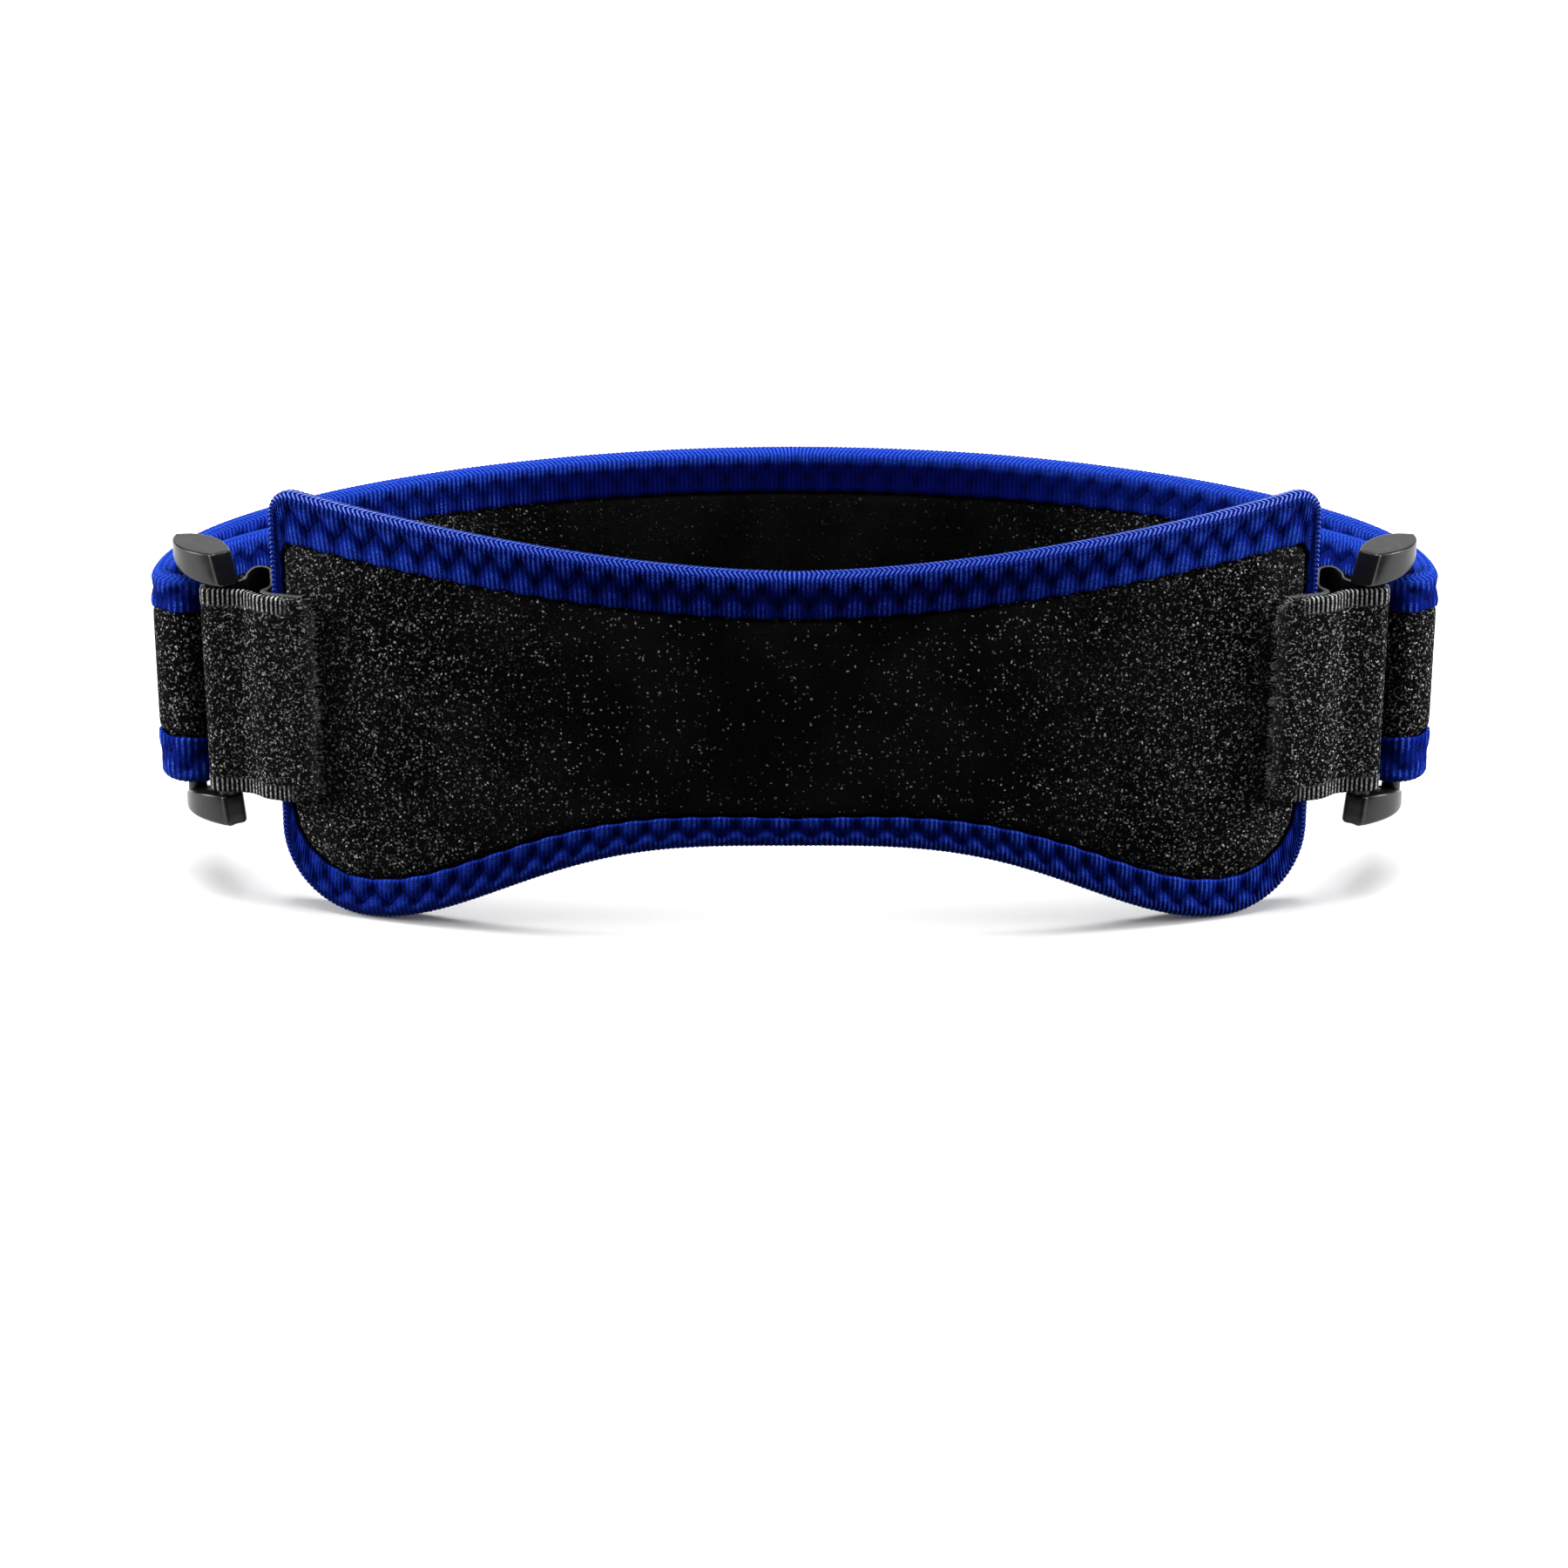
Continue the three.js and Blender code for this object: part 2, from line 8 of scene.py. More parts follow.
import bpy
import numpy as np
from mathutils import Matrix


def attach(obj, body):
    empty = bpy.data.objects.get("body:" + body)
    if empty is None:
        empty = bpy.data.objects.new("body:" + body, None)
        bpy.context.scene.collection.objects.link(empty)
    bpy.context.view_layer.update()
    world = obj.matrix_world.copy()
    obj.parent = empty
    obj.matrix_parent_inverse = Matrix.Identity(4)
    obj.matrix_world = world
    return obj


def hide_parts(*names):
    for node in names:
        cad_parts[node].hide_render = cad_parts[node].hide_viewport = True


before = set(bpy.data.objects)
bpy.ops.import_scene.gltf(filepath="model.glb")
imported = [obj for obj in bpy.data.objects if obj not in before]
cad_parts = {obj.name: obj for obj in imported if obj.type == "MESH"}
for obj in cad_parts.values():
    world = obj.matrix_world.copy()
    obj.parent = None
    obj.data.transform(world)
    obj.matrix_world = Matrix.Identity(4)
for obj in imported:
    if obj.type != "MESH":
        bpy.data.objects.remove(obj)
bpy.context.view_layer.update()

# How the loop stands: it leans back until its front lobes and the middle of its rear edge touch down.
LEAN = 0.19227121593528318
LEVEL = 3.734108792468487
CENTRE_DEPTH = 18.870800971984863

GAP = 0.3
MIDDLE_HEIGHT = 41.2

FRONT_LENGTH = 185.4
FRONT_ARC_RADIUS = 298
FRONT_DEPTH = 27.8
FRONT_HALF_THICKNESS = 2.2
WAIST_TOP = 67.6
WAIST_BOTTOM = 17.3
UPPER_RISE = 10.6
UPPER_REACH = 88
LOBE_REACH = 76
UPPER_CORNER = 4
LOWER_CORNER = 16

TAPE_THICKNESS = 0.7
UPPER_LIP = 7.8
UPPER_LIP_GROWTH = 0.9
LOWER_LIP = 5.6
LOWER_LIP_GROWTH = 2
SIDE_LIP = 2.6
LIP_CORNER = 2.5
FOLD_DEPTH = 1.55
INNER_FOLD_DEPTH = 1
PAD_EDGE_DEPTH = 0.9
SWELL = 0.05
SHOULDER_START = 0.35
SHOULDER_TOP = 0.85
SWELL_REACH = 3

REAR_DEPTH = 49.8
REAR_HALF_THICKNESS = 2.2
REAR_UPPER_HEIGHT = 26
REAR_LOWER_HEIGHT = 28
REAR_LIP = 8
TAB_HALF_THICKNESS = 1.75
TAB_HALF_HEIGHT = 19.5
TAB_UPPER_LIP = 6.4
TAB_LOWER_LIP = 8.8
TAB_TURN_RADIUS = 4.6
TAB_RETURN_LENGTH = 32
TAB_CLOSING_LENGTH = 14
THICKENING_START = 0.22
THICKENING_END = 0.4

STRAP_BAR_REACH = 10.1
STRAP_BAR_SETBACK = 1.2
BAR_SPACING = 9.8
BUCKLE_ANGLE = math.radians(49.1)
STRAP_BAR_RADIUS = 1.3
TAB_BAR_RADIUS = 1.2
BUCKLE_OPENING = 19.9
BUCKLE_END_HEIGHT = 5.5
BUCKLE_TIP_REACH = 2.9
BUCKLE_FLAT_REACH = 2
BUCKLE_FLAT_WIDTH = 4.4
BUCKLE_TIP_LIFT = 3.2
UPPER_END_LEAN = 2.4
LOWER_END_LEAN = 1

WEBBING_WIDTH = 38
WEBBING_THICKNESS = 1.4
SEWN_LENGTH = 6.6
OVERLAP_LENGTH = 8.3
ARCH_DEPTH = 12.1
ARCH_OFFSET = 3.6
ARCH_NEAR_LEG = 1.8
ARCH_FAR_LEG = 5.1
END_CORNER_CUT = 2.4
END_CORNER_LENGTH = 3.4

# Cloth detail: ribs across the tape and the webbing, the zigzag seam that holds the tape's lips, the
# webbing's selvedges and frayed fibres, and the steps and spans of the straps' curve.
RIB_PITCH = 0.86
RIB_HEIGHT = 0.1
SEAM_PITCH = 5.2
SEAM_MIDDLE = 0.42
SEAM_SWING = 0.23
SEAM_DEPTH = 0.17
HOLE_DEPTH = 0.36
THREAD_RADIUS = 0.1
SELVEDGE_WIDTH = 3.2
TAPE_CLOTH_LIP = 7
FIBRE_COUNT = 700
FIBRE_RADIUS = 0.055
CURVE_STEPS = 60
SPANS_TO_BAR = 11


# Camera, floor and light.

def make_camera():
    data = bpy.data.cameras.new("camera")
    data.lens = 91.872
    data.sensor_width = 36
    data.clip_start = 0.01
    data.clip_end = 20
    camera = bpy.data.objects.new("camera", data)
    camera.location = (-0.001881, -0.63279, 0.40000)
    camera.rotation_euler = (math.radians(57.984), 0, 0)
    bpy.context.scene.collection.objects.link(camera)
    bpy.context.scene.camera = camera


def make_softbox(name, place, aim, size, power):
    data = bpy.data.lights.new(name, "AREA")
    data.shape = "RECTANGLE"
    data.size, data.size_y = size
    data.energy = power
    light = bpy.data.objects.new(name, data)
    light.location = place
    towards = np.array(aim, float) - np.array(place, float)
    flat = math.hypot(towards[0], towards[1])
    light.rotation_euler = (math.atan2(flat, -towards[2]), 0, math.atan2(-towards[0], towards[1]))
    bpy.context.scene.collection.objects.link(light)
    return light


def keep_light_off(light, piece):
    """Leaves one piece out of what a light falls on."""
    group = bpy.data.collections.new(light.name + "_skips")
    group.objects.link(piece)
    group.collection_objects[0].light_linking.link_state = "EXCLUDE"
    light.light_linking.receiver_collection = group


def make_lights():
    world = bpy.data.worlds.new("studio")
    world.use_nodes = True
    background = world.node_tree.nodes["Background"]
    background.inputs["Color"].default_value = (0.96, 0.98, 1, 1)
    background.inputs["Strength"].default_value = 0.09
    bpy.context.scene.world = world
    make_softbox("softbox_top", (0, 0.18, 1.1), (0, 0.02, 0.04), (1.1, 0.5), 21)
    make_softbox("softbox_back", (0, 1.5, 0.6), (0, 0, 0.06), (2.6, 0.8), 8)
    left = make_softbox("softbox_left", (-1.05, -0.08, 0.4), (-0.06, 0, 0.04), (0.4, 0.6), 14)
    right = make_softbox("softbox_right", (1.05, -0.08, 0.4), (0.06, 0, 0.04), (0.4, 0.6), 14)
    return left, right


# Shapes as arrays.

def smooth_step(start, end, value):
    share = np.clip((value - start) / (end - start), 0, 1)
    return share * share * (3 - 2 * share)


def stand(points):
    """Leans points of the upright frame back about X, sets them on the floor, and gives metres."""
    x, y, z = np.moveaxis(np.asarray(points, float), -1, 0)
    back = y * math.cos(LEAN) + z * math.sin(LEAN) - CENTRE_DEPTH
    up = z * math.cos(LEAN) - y * math.sin(LEAN) - LEVEL
    return np.stack([x, back, np.maximum(up, 0)], -1) / 1000


def lattice(points, wrap_rows=False, wrap_columns=False, ends=None, u=None, v=None, relief=None):
    """A grid of points, rows by columns, as quads. A wrapped direction runs round to its start. Ends
    close what is left open: 'sections' by a polygon over the first and the last column, 'ladders' by
    quads across the first and the last row, and 'rings' by a polygon over each of those rows."""
    rows, columns = points.shape[:2]
    index = np.arange(rows * columns).reshape(rows, columns)
    down = np.arange(rows if wrap_rows else rows - 1)
    along = np.arange(columns if wrap_columns else columns - 1)
    r, c = np.meshgrid(down, along, indexing="ij")
    r2, c2 = (r + 1) % rows, (c + 1) % columns
    quads = np.stack([index[r, c], index[r, c2], index[r2, c2], index[r2, c]], -1).reshape(-1, 4)
    u, v = (np.broadcast_to(0.0 if value is None else value, (rows + 1, columns + 1)) for value in (u, v))
    corners = [(r, c), (r, c + 1), (r + 1, c + 1), (r + 1, c)]
    uv = np.stack([np.stack([u[a, b], v[a, b]], -1) for a, b in corners], 2).reshape(-1, 4, 2)
    polygons = []
    if ends == "sections":
        polygons = [index[:, 0], index[::-1, -1]]
    if ends == "rings":
        polygons = [index[0, ::-1], index[-1]]
    if ends == "ladders":
        k = np.arange(columns // 2 - 1)
        first = np.stack([k + 1, k, columns - 1 - k, columns - 2 - k], -1)
        last = (rows - 1) * columns + np.stack([k, k + 1, columns - 2 - k, columns - 1 - k], -1)
        quads = np.concatenate([quads, first, last])
        uv = np.concatenate([uv, np.zeros((2 * len(k), 4, 2))])
    flat = points.reshape(-1, 3)
    relief = np.zeros(len(flat)) if relief is None else np.broadcast_to(relief, (rows, columns)).ravel()
    return outwards({"points": flat, "quads": quads, "uv": uv, "polygons": polygons, "relief": relief})


def outwards(shape):
    """Turns every face round if the closed shape's signed volume is negative."""
    points = shape["points"] - shape["points"].mean(0)
    a, b, c, d = (points[shape["quads"][:, k]] for k in range(4))
    volume = np.sum(a * np.cross(b, c)) + np.sum(a * np.cross(c, d))
    for polygon in shape["polygons"]:
        ring = points[polygon]
        volume += np.sum(ring[0] * np.cross(ring[1:-1], ring[2:]))
    if volume < 0:
        shape["quads"] = shape["quads"][:, ::-1]
        shape["uv"] = shape["uv"][:, ::-1]
        shape["polygons"] = [polygon[::-1] for polygon in shape["polygons"]]
    return shape


def path_lengths(path):
    """Length along a path at each of its points."""
    return np.concatenate([[0], np.cumsum(np.linalg.norm(np.diff(path, axis=0), axis=1))])


def on_path(along, lengths, path):
    """Place in plan at a length along a path."""
    return np.stack([np.interp(along, lengths, path[:, k]) for k in (0, 1)], -1)


def path_normal(along, lengths, path, reach):
    """The normal in plan, square to the line between the places a reach behind and ahead."""
    run = on_path(along + reach, lengths, path) - on_path(along - reach, lengths, path)
    run /= np.linalg.norm(run, axis=-1, keepdims=True)
    return np.stack([-run[..., 1], run[..., 0]], -1)


def tubes(points):
    """Many closed tubes of one build, from their points by tube, ring and place round the ring."""
    count, rings, around = points.shape[:3]
    size = rings * around
    first = lattice(points[0], wrap_columns=True, ends="rings")
    starts = np.arange(count)[:, None, None] * size
    return {
        "points": points.reshape(-1, 3),
        "quads": (first["quads"][None] + starts).reshape(-1, 4),
        "uv": np.tile(first["uv"], (count, 1, 1)),
        "polygons": [polygon + size * k for k in range(count) for polygon in first["polygons"]],
        "relief": np.zeros(size * count),
    }


def together(shapes):
    """Several shapes as one."""
    starts = np.cumsum([0] + [len(shape["points"]) for shape in shapes])
    return {
        "points": np.concatenate([shape["points"] for shape in shapes]),
        "quads": np.concatenate([shape["quads"] + start for shape, start in zip(shapes, starts)]),
        "uv": np.concatenate([shape["uv"] for shape in shapes]),
        "polygons": [p + start for shape, start in zip(shapes, starts) for p in shape["polygons"]],
        "relief": np.concatenate([shape["relief"] for shape in shapes]),
    }


def mirrored(shape):
    """The same shape across the YZ plane."""
    return {
        **shape,
        "points": shape["points"] * (-1, 1, 1),
        "quads": shape["quads"][:, ::-1],
        "uv": shape["uv"][:, ::-1],
        "polygons": [polygon[::-1] for polygon in shape["polygons"]],
    }


def make_piece(name, shape, material, replaces=()):
    """Puts a shape into a mesh of its own, with a UV map in centimetres of cloth and its relief in
    millimetres as an attribute, and hangs it on the object."""
    mesh = bpy.data.meshes.new(name)
    corners = np.concatenate([shape["quads"].ravel(), *shape["polygons"]]).astype(np.int32)
    sizes = np.array([4] * len(shape["quads"]) + [len(p) for p in shape["polygons"]], np.int32)
    mesh.vertices.add(len(shape["points"]))
    mesh.vertices.foreach_set("co", stand(shape["points"]).astype(np.float32).ravel())
    mesh.loops.add(len(corners))
    mesh.loops.foreach_set("vertex_index", corners)
    mesh.polygons.add(len(sizes))
    mesh.polygons.foreach_set("loop_start", np.cumsum(sizes) - sizes)
    mesh.polygons.foreach_set("loop_total", sizes)
    mesh.polygons.foreach_set("use_smooth", np.ones(len(sizes), bool))
    mesh.update(calc_edges=True)
    cloth = np.zeros((len(corners), 2), np.float32)
    cloth[: 4 * len(shape["quads"])] = shape["uv"].reshape(-1, 2) / 10
    mesh.uv_layers.new(name="cloth").data.foreach_set("uv", cloth.ravel())
    relief = mesh.attributes.new("relief", "FLOAT", "POINT")
    relief.data.foreach_set("value", shape["relief"].astype(np.float32))
    mesh.validate()
    mesh.materials.append(material)
    piece = bpy.data.objects.new(name, mesh)
    bpy.context.scene.collection.objects.link(piece)
    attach(piece, "root")
    if replaces:
        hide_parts(*replaces)
    return piece


# Front pad.

def upper_edge(along):
    return WAIST_TOP + UPPER_RISE * np.minimum(np.abs(along) / UPPER_REACH, 1) ** 1.6


def lower_edge(along):
    share = np.minimum(np.abs(along) / LOBE_REACH, 1) ** 1.55
    return WAIST_BOTTOM * (1 + np.cos(math.pi * share)) / 2


def upper_lip(along):
    return UPPER_LIP + UPPER_LIP_GROWTH * np.minimum(np.abs(along) / UPPER_REACH, 1)


def lower_lip(along):
    return LOWER_LIP + LOWER_LIP_GROWTH * np.minimum(np.abs(along) / LOBE_REACH, 1)


def quarter_outline(turn, edge, side, inset, side_inset, corner):
    """A quarter of the front pad's outline. Turn runs from 0 at the middle of the left side to 1 where
    the corner starts, to 2 where it ends, and to 3 at the waist. The corner is a rational quadratic
    arc. Side is 1 over the top and -1 under the bottom, and inset is measured square to the edge."""
    def height(along):
        slope = edge(along + 0.5) - edge(along - 0.5)
        return edge(along) - side * inset(along) * np.sqrt(1 + slope * slope)

    left = side_inset - FRONT_LENGTH / 2
    middle = (upper_edge(left) + lower_edge(left)) / 2
    top = height(left)
    start = top - side * corner
    end = left + corner
    rise = np.clip(turn, 0, 1)
    bend = np.clip(turn - 1, 0, 1)
    first, pull, last = (1 - bend) ** 2, math.sqrt(2) * bend * (1 - bend), bend**2
    whole = first + pull + last
    run = end * (1 - np.clip(turn - 2, 0, 1))
    along = np.where(turn < 1, left, ((first + pull) * left + last * end) / whole)
    up = np.where(turn < 1, middle + rise * (start - middle),
                  (first * start + pull * top + last * height(end)) / whole)
    return np.where(turn > 2, run, along), np.where(turn > 2, height(run), up)


def front_outline(turn, depth=None, beyond=0.0):
    """The closed outline at a depth in from the edge or, with no depth, at the lips' ends and beyond.
    Turn runs from 0 to 12 over the top left, top right, bottom right and bottom left quarters."""
    quarter = np.floor(turn / 3).astype(int) % 4
    local = np.where(quarter % 2 == 0, turn % 3, 3 - turn % 3)
    if depth is None:
        side = SIDE_LIP + beyond
        top = quarter_outline(local, upper_edge, 1, lambda s: upper_lip(s) + beyond, side, LIP_CORNER)
        bottom = quarter_outline(local, lower_edge, -1, lambda s: lower_lip(s) + beyond, side,
                                 LOWER_CORNER - SIDE_LIP - beyond)
    else:
        top = quarter_outline(local, upper_edge, 1, lambda s: depth, depth, UPPER_CORNER - depth)
        bottom = quarter_outline(local, lower_edge, -1, lambda s: depth, depth, LOWER_CORNER - depth)
    upper = quarter < 2
    along = np.where(upper, top[0], bottom[0]) * np.where((quarter == 1) | (quarter == 2), -1, 1)
    return along, np.where(upper, top[1], bottom[1])


def front_point(along, height, offset):
    """Wraps the flat outline round the pad's arc, offset outwards from the middle of its thickness."""
    turn = along / FRONT_ARC_RADIUS
    radius = FRONT_ARC_RADIUS + offset
    x = radius * np.sin(turn)
    y = FRONT_ARC_RADIUS - FRONT_DEPTH - radius * np.cos(turn)
    return np.stack(np.broadcast_arrays(x, y, height), -1)


def ripple(first, second):
    """Slow unevenness of hand-laid cloth, from -1 to 1, as a sum of four crossing waves."""
    waves = np.sin(first / 6.1 + 1.3) * np.sin(second / 7.3 + 0.4) + np.sin((first + second) / 10.7)
    return (waves + np.sin((first - 1.6 * second) / 4.9) * 0.6 + np.sin(first / 17 + 2) * 0.7) / 3.3


def front_fabric():
    """The front pad: rings from its back face round its edge, under the lips, to its swollen front
    face, each a closed outline. Inside the lips the rings close in on the middle line of the pad."""
    quarter = np.concatenate([np.linspace(0, 1, 12, endpoint=False), np.linspace(1, 2, 14, endpoint=False),
                              np.linspace(2, 3, 76)])
    quarter[0], quarter[-1] = 0.004, 2.996
    turn = np.concatenate([quarter, 6 - quarter[::-1], 6 + quarter, 12 - quarter[::-1]])
    edge = FRONT_HALF_THICKNESS - TAPE_THICKNESS - GAP
    face = FRONT_HALF_THICKNESS + SWELL
    start = TAPE_THICKNESS + GAP
    rings = []
    for angle in np.radians([8, 30, 55, 90]):
        depth = start + PAD_EDGE_DEPTH * (1 - math.cos(angle))
        rings.append((*front_outline(turn, depth), edge * math.sin(angle) * np.ones_like(turn)))
    for beyond, offset in [(SHOULDER_START, edge), (0.5, edge + 0.45), (0.66, face - 0.42),
                           (SHOULDER_TOP, face - 0.2), (1.3, face - 0.06), (SWELL_REACH, face)]:
        rings.append((*front_outline(turn, None, beyond), offset * np.ones_like(turn)))
    along, height, offset = rings[-1]
    middle = (upper_edge(along) + lower_edge(along)) / 2
    for share in np.linspace(0, 0.93, 22)[1:]:
        inner = along * (1 - 0.16 * share)
        up = height + (middle - height) * share
        free = 1 - smooth_step(66, 82, np.abs(inner))
        uneven = 0.12 * ripple(inner, up) * smooth_step(0, 0.3, share)
        swell = (0.35 * smooth_step(0, 0.6, share) + uneven) * free
        rings.append((inner, up, face + swell))
    front = [front_point(*ring) for ring in rings]
    back = [front_point(along, height, -offset) for along, height, offset in rings]
    return lattice(np.stack(back[::-1] + front), wrap_columns=True, ends="ladders")


# Bound edges.

def tape_section():
    """The tape's section from the end of its outer lip over the fold to its inner lip and back along
    its inside: the share of the lip, the angle round the fold, and whether it is the outer skin."""
    outer = [(share, 90.0, 1) for share in np.linspace(1, 0, 14)]
    fold = [(0.0, angle, 1) for angle in np.linspace(90, -90, 11)[1:-1]]
    inner = [(share, -90.0, 1) for share in np.linspace(0, 1, 10)]
    under = [(1.0, -90.0, 0), (0.4, -90.0, 0), (0.0, -90.0, 0), (0.0, 0.0, 0), (0.0, 90.0, 0),
             (0.4, 90.0, 0), (1.0, 90.0, 0)]
    share, angle, skin = np.array(outer + fold + inner + under).T[:, :, None]
    return share, np.radians(angle), skin


def tape_depth(angle, relief, skin):
    """How far in from the pad's edge a point of the tape's fold lies, on its outer or inner skin."""
    round_fold = 1 - np.cos(angle)
    fold = np.where(skin > 0, FOLD_DEPTH * round_fold, TAPE_THICKNESS + INNER_FOLD_DEPTH * round_fold)
    return fold - relief * np.cos(angle) * skin


def tape_shape(point, along, length, relief, section, half, ends):
    """A tape from the place that point gives for each part of its section along its edge."""
    ones = np.ones_like(relief)
    share, angle, skin = section
    across = (half * angle + np.sign(angle) * share * TAPE_CLOTH_LIP)[:, 0]
    return lattice(point(along[None] * ones, share * ones, angle * ones, relief, skin * ones), wrap_rows=True,
                   wrap_columns=ends is None, ends=ends, u=np.append(along, length)[None],
                   v=np.append(across, across[0])[:, None], relief=relief)


def zigzag(along, count, length):
    """Place of the seam across the lip, from 0 at the fold to 1 at the lip's end, as a triangle wave."""
    phase = (along * count / length) % 1
    return SEAM_MIDDLE + SEAM_SWING * (1 - 4 * np.abs(phase - 0.5))


def tape_relief(along, share, angle, lip, length, half, face):
    """How far the tape stands proud of its even section: ribs across it, less the furrow of the zigzag
    seam and a hole at each of its turns, with the cloth puffed between them."""
    count, ribs = round(length / SEAM_PITCH), round(length / RIB_PITCH)
    across = half * (math.pi / 2 - np.abs(angle)) * -1 + share * lip
    slant = 0.5 * np.clip(across, -half, 0) + 0.1 * ripple(along * 2, across * 6)
    rib = np.cos(2 * math.pi * (along * ribs / length + slant * 0.3))
    braid = 0.72 + 0.28 * np.cos(2 * math.pi * (across / 1.7 + along * ribs / length / 2))
    seam = zigzag(along, count, length)
    slope = 4 * SEAM_SWING * lip * count / length
    away = (share - seam) * lip / np.sqrt(1 + slope * slope)
    phase = (along * count / length) % 1
    inner = np.abs((phase + 0.5) % 1 - 0.5) * length / count
    outer = np.abs(phase - 0.5) * length / count
    low = (share - (SEAM_MIDDLE - SEAM_SWING)) * lip
    high = (share - (SEAM_MIDDLE + SEAM_SWING)) * lip
    on_lip = smooth_step(0, 0.12, share) * face
    furrow = SEAM_DEPTH * np.exp(-((away / 0.9) ** 2))
    holes = HOLE_DEPTH * (np.exp(-(inner**2 + low**2) / 0.75) + np.exp(-(outer**2 + high**2) / 0.75))
    puff = 0.26 * np.exp(-((inner / 1.3) ** 2)) * smooth_step(0.5, 0.75, share)
    near_fold = (1 - smooth_step(0.25, 0.55, share)) * smooth_step(0, 0.15, share)
    sewn = (furrow + holes - (puff + 0.18 * np.exp(-((outer / 1.4) ** 2)) * near_fold)) * on_lip
    flat_end = 1 - smooth_step(0.93, 1, share)
    worn = 0.04 * ripple(along, across * 2)
    pressed = 1 - 0.6 * np.exp(-((away / 0.6) ** 2)) * on_lip
    return RIB_HEIGHT * rib * braid * pressed * flat_end + worn - sewn


def scallop(along, length):
    """Waves of the lip's end, in millimetres: furthest out between the seam's outer turns."""
    return 0.1 * np.cos(2 * math.pi * along * round(length / SEAM_PITCH) / length)


# Turns of the front outline, and the length along the edge at each of them.
FRONT_TURNS = np.linspace(0, 12, 12001)
FRONT_LENGTHS = path_lengths(np.stack(front_outline(np.minimum(FRONT_TURNS, 11.9999), 0.0), -1))


def front_tape_point(along, share, angle, relief, skin):
    """A point of the front pad's tape: along its edge, at a share of the lip or an angle round the
    fold, standing proud by the relief."""
    length = FRONT_LENGTHS[-1]
    turn = np.interp(along % length, FRONT_LENGTHS, FRONT_TURNS)
    half = np.where(skin > 0, FRONT_HALF_THICKNESS, FRONT_HALF_THICKNESS - TAPE_THICKNESS)
    near = front_outline(turn, tape_depth(angle, relief, skin))
    far = front_outline(turn, None, scallop(along, length))
    flat_along = near[0] + (far[0] - near[0]) * share
    height = near[1] + (far[1] - near[1]) * share
    return front_point(flat_along, height, (half + relief * skin) * np.sin(angle))


def front_tape():
    """The front pad's tape, four rows of points to a rib. Its seam and puffs fade out at the sides."""
    length = FRONT_LENGTHS[-1]
    along = np.linspace(0, length, 4 * round(length / RIB_PITCH), endpoint=False)
    turn = np.interp(along, FRONT_LENGTHS, FRONT_TURNS)
    flat = front_outline(turn, 0.0)[0]
    side = np.minimum(turn % 6, 6 - turn % 6)
    lip = np.where(turn < 6, upper_lip(flat), lower_lip(flat))
    narrow = smooth_step(0.75, 2.1, side)
    lip = SIDE_LIP + (lip - SIDE_LIP) * narrow - FOLD_DEPTH
    share, angle, skin = section = tape_section()
    half = FRONT_HALF_THICKNESS
    relief = tape_relief(along[None], share, angle, lip[None], length, half, narrow[None]) * skin
    return tape_shape(front_tape_point, along, length, relief, section, half, None)


def stitches(start, end, normal):
    """Points of short threads from start to end, each a bead six-sided in section that dives at both
    ends, by thread, ring and place round the ring."""
    share = np.linspace(0, 1, 7)[None, :, None, None]
    turn = np.linspace(0, 2 * math.pi, 6, endpoint=False)[None, None, :, None]
    start, end, normal = (values[:, None, None, :] for values in (start, end, normal))
    run = end - start
    run /= np.linalg.norm(run, axis=-1, keepdims=True)
    side = np.cross(run, normal)
    radius = THREAD_RADIUS * np.sqrt(np.clip(np.sin(math.pi * (0.04 + 0.92 * share)), 0, 1))
    arch = 0.26 * np.sin(math.pi * share) ** 0.6 - 0.24
    ring = radius * (np.cos(turn) * side + np.sin(turn) * normal)
    return start + (end - start) * share + normal * arch + ring


def seam_threads(length, point, closed):
    """The zigzag seam on both faces, as points of its threads. Each runs between a turn near the fold
    and one near the lip's end, in its furrow, and point gives a place on the even face of the tape."""
    count = round(length / SEAM_PITCH)
    along = np.arange(2 * count + (0 if closed else 1)) / 2 * length / count
    share = np.where(np.arange(len(along)) % 2 == 0, SEAM_MIDDLE - SEAM_SWING, SEAM_MIDDLE + SEAM_SWING)
    first = np.arange(2 * count)
    threads = []
    for angle in (math.pi / 2, -math.pi / 2):
        low = point(along, share, angle, -SEAM_DEPTH)
        high = point(along, share, angle, -SEAM_DEPTH + 1)
        normal = high - low
        normal /= np.linalg.norm(normal, axis=-1, keepdims=True)
        threads.append(stitches(low[first], low[(first + 1) % len(low)], normal[first]))
    return np.concatenate(threads)


def front_seam():
    """The front seam, without its threads at the narrow sides."""
    def point(along, share, angle, relief):
        ones = np.ones_like(along)
        return front_tape_point(along, share, angle * ones, relief * ones, ones)

    threads = seam_threads(FRONT_LENGTHS[-1], point, True)
    side = FRONT_ARC_RADIUS * math.sin(FRONT_LENGTH / 2 / FRONT_ARC_RADIUS)
    return tubes(threads[np.abs(threads[..., 0].mean((1, 2))) < 0.955 * side])


# Rear pad.

def strap_bar():
    end = front_point(-FRONT_LENGTH / 2, 0.0, 0.0)
    return np.array([end[0] - STRAP_BAR_REACH, end[1] + STRAP_BAR_SETBACK])


def buckle_axis():
    return np.array([math.cos(BUCKLE_ANGLE), -math.sin(BUCKLE_ANGLE)])


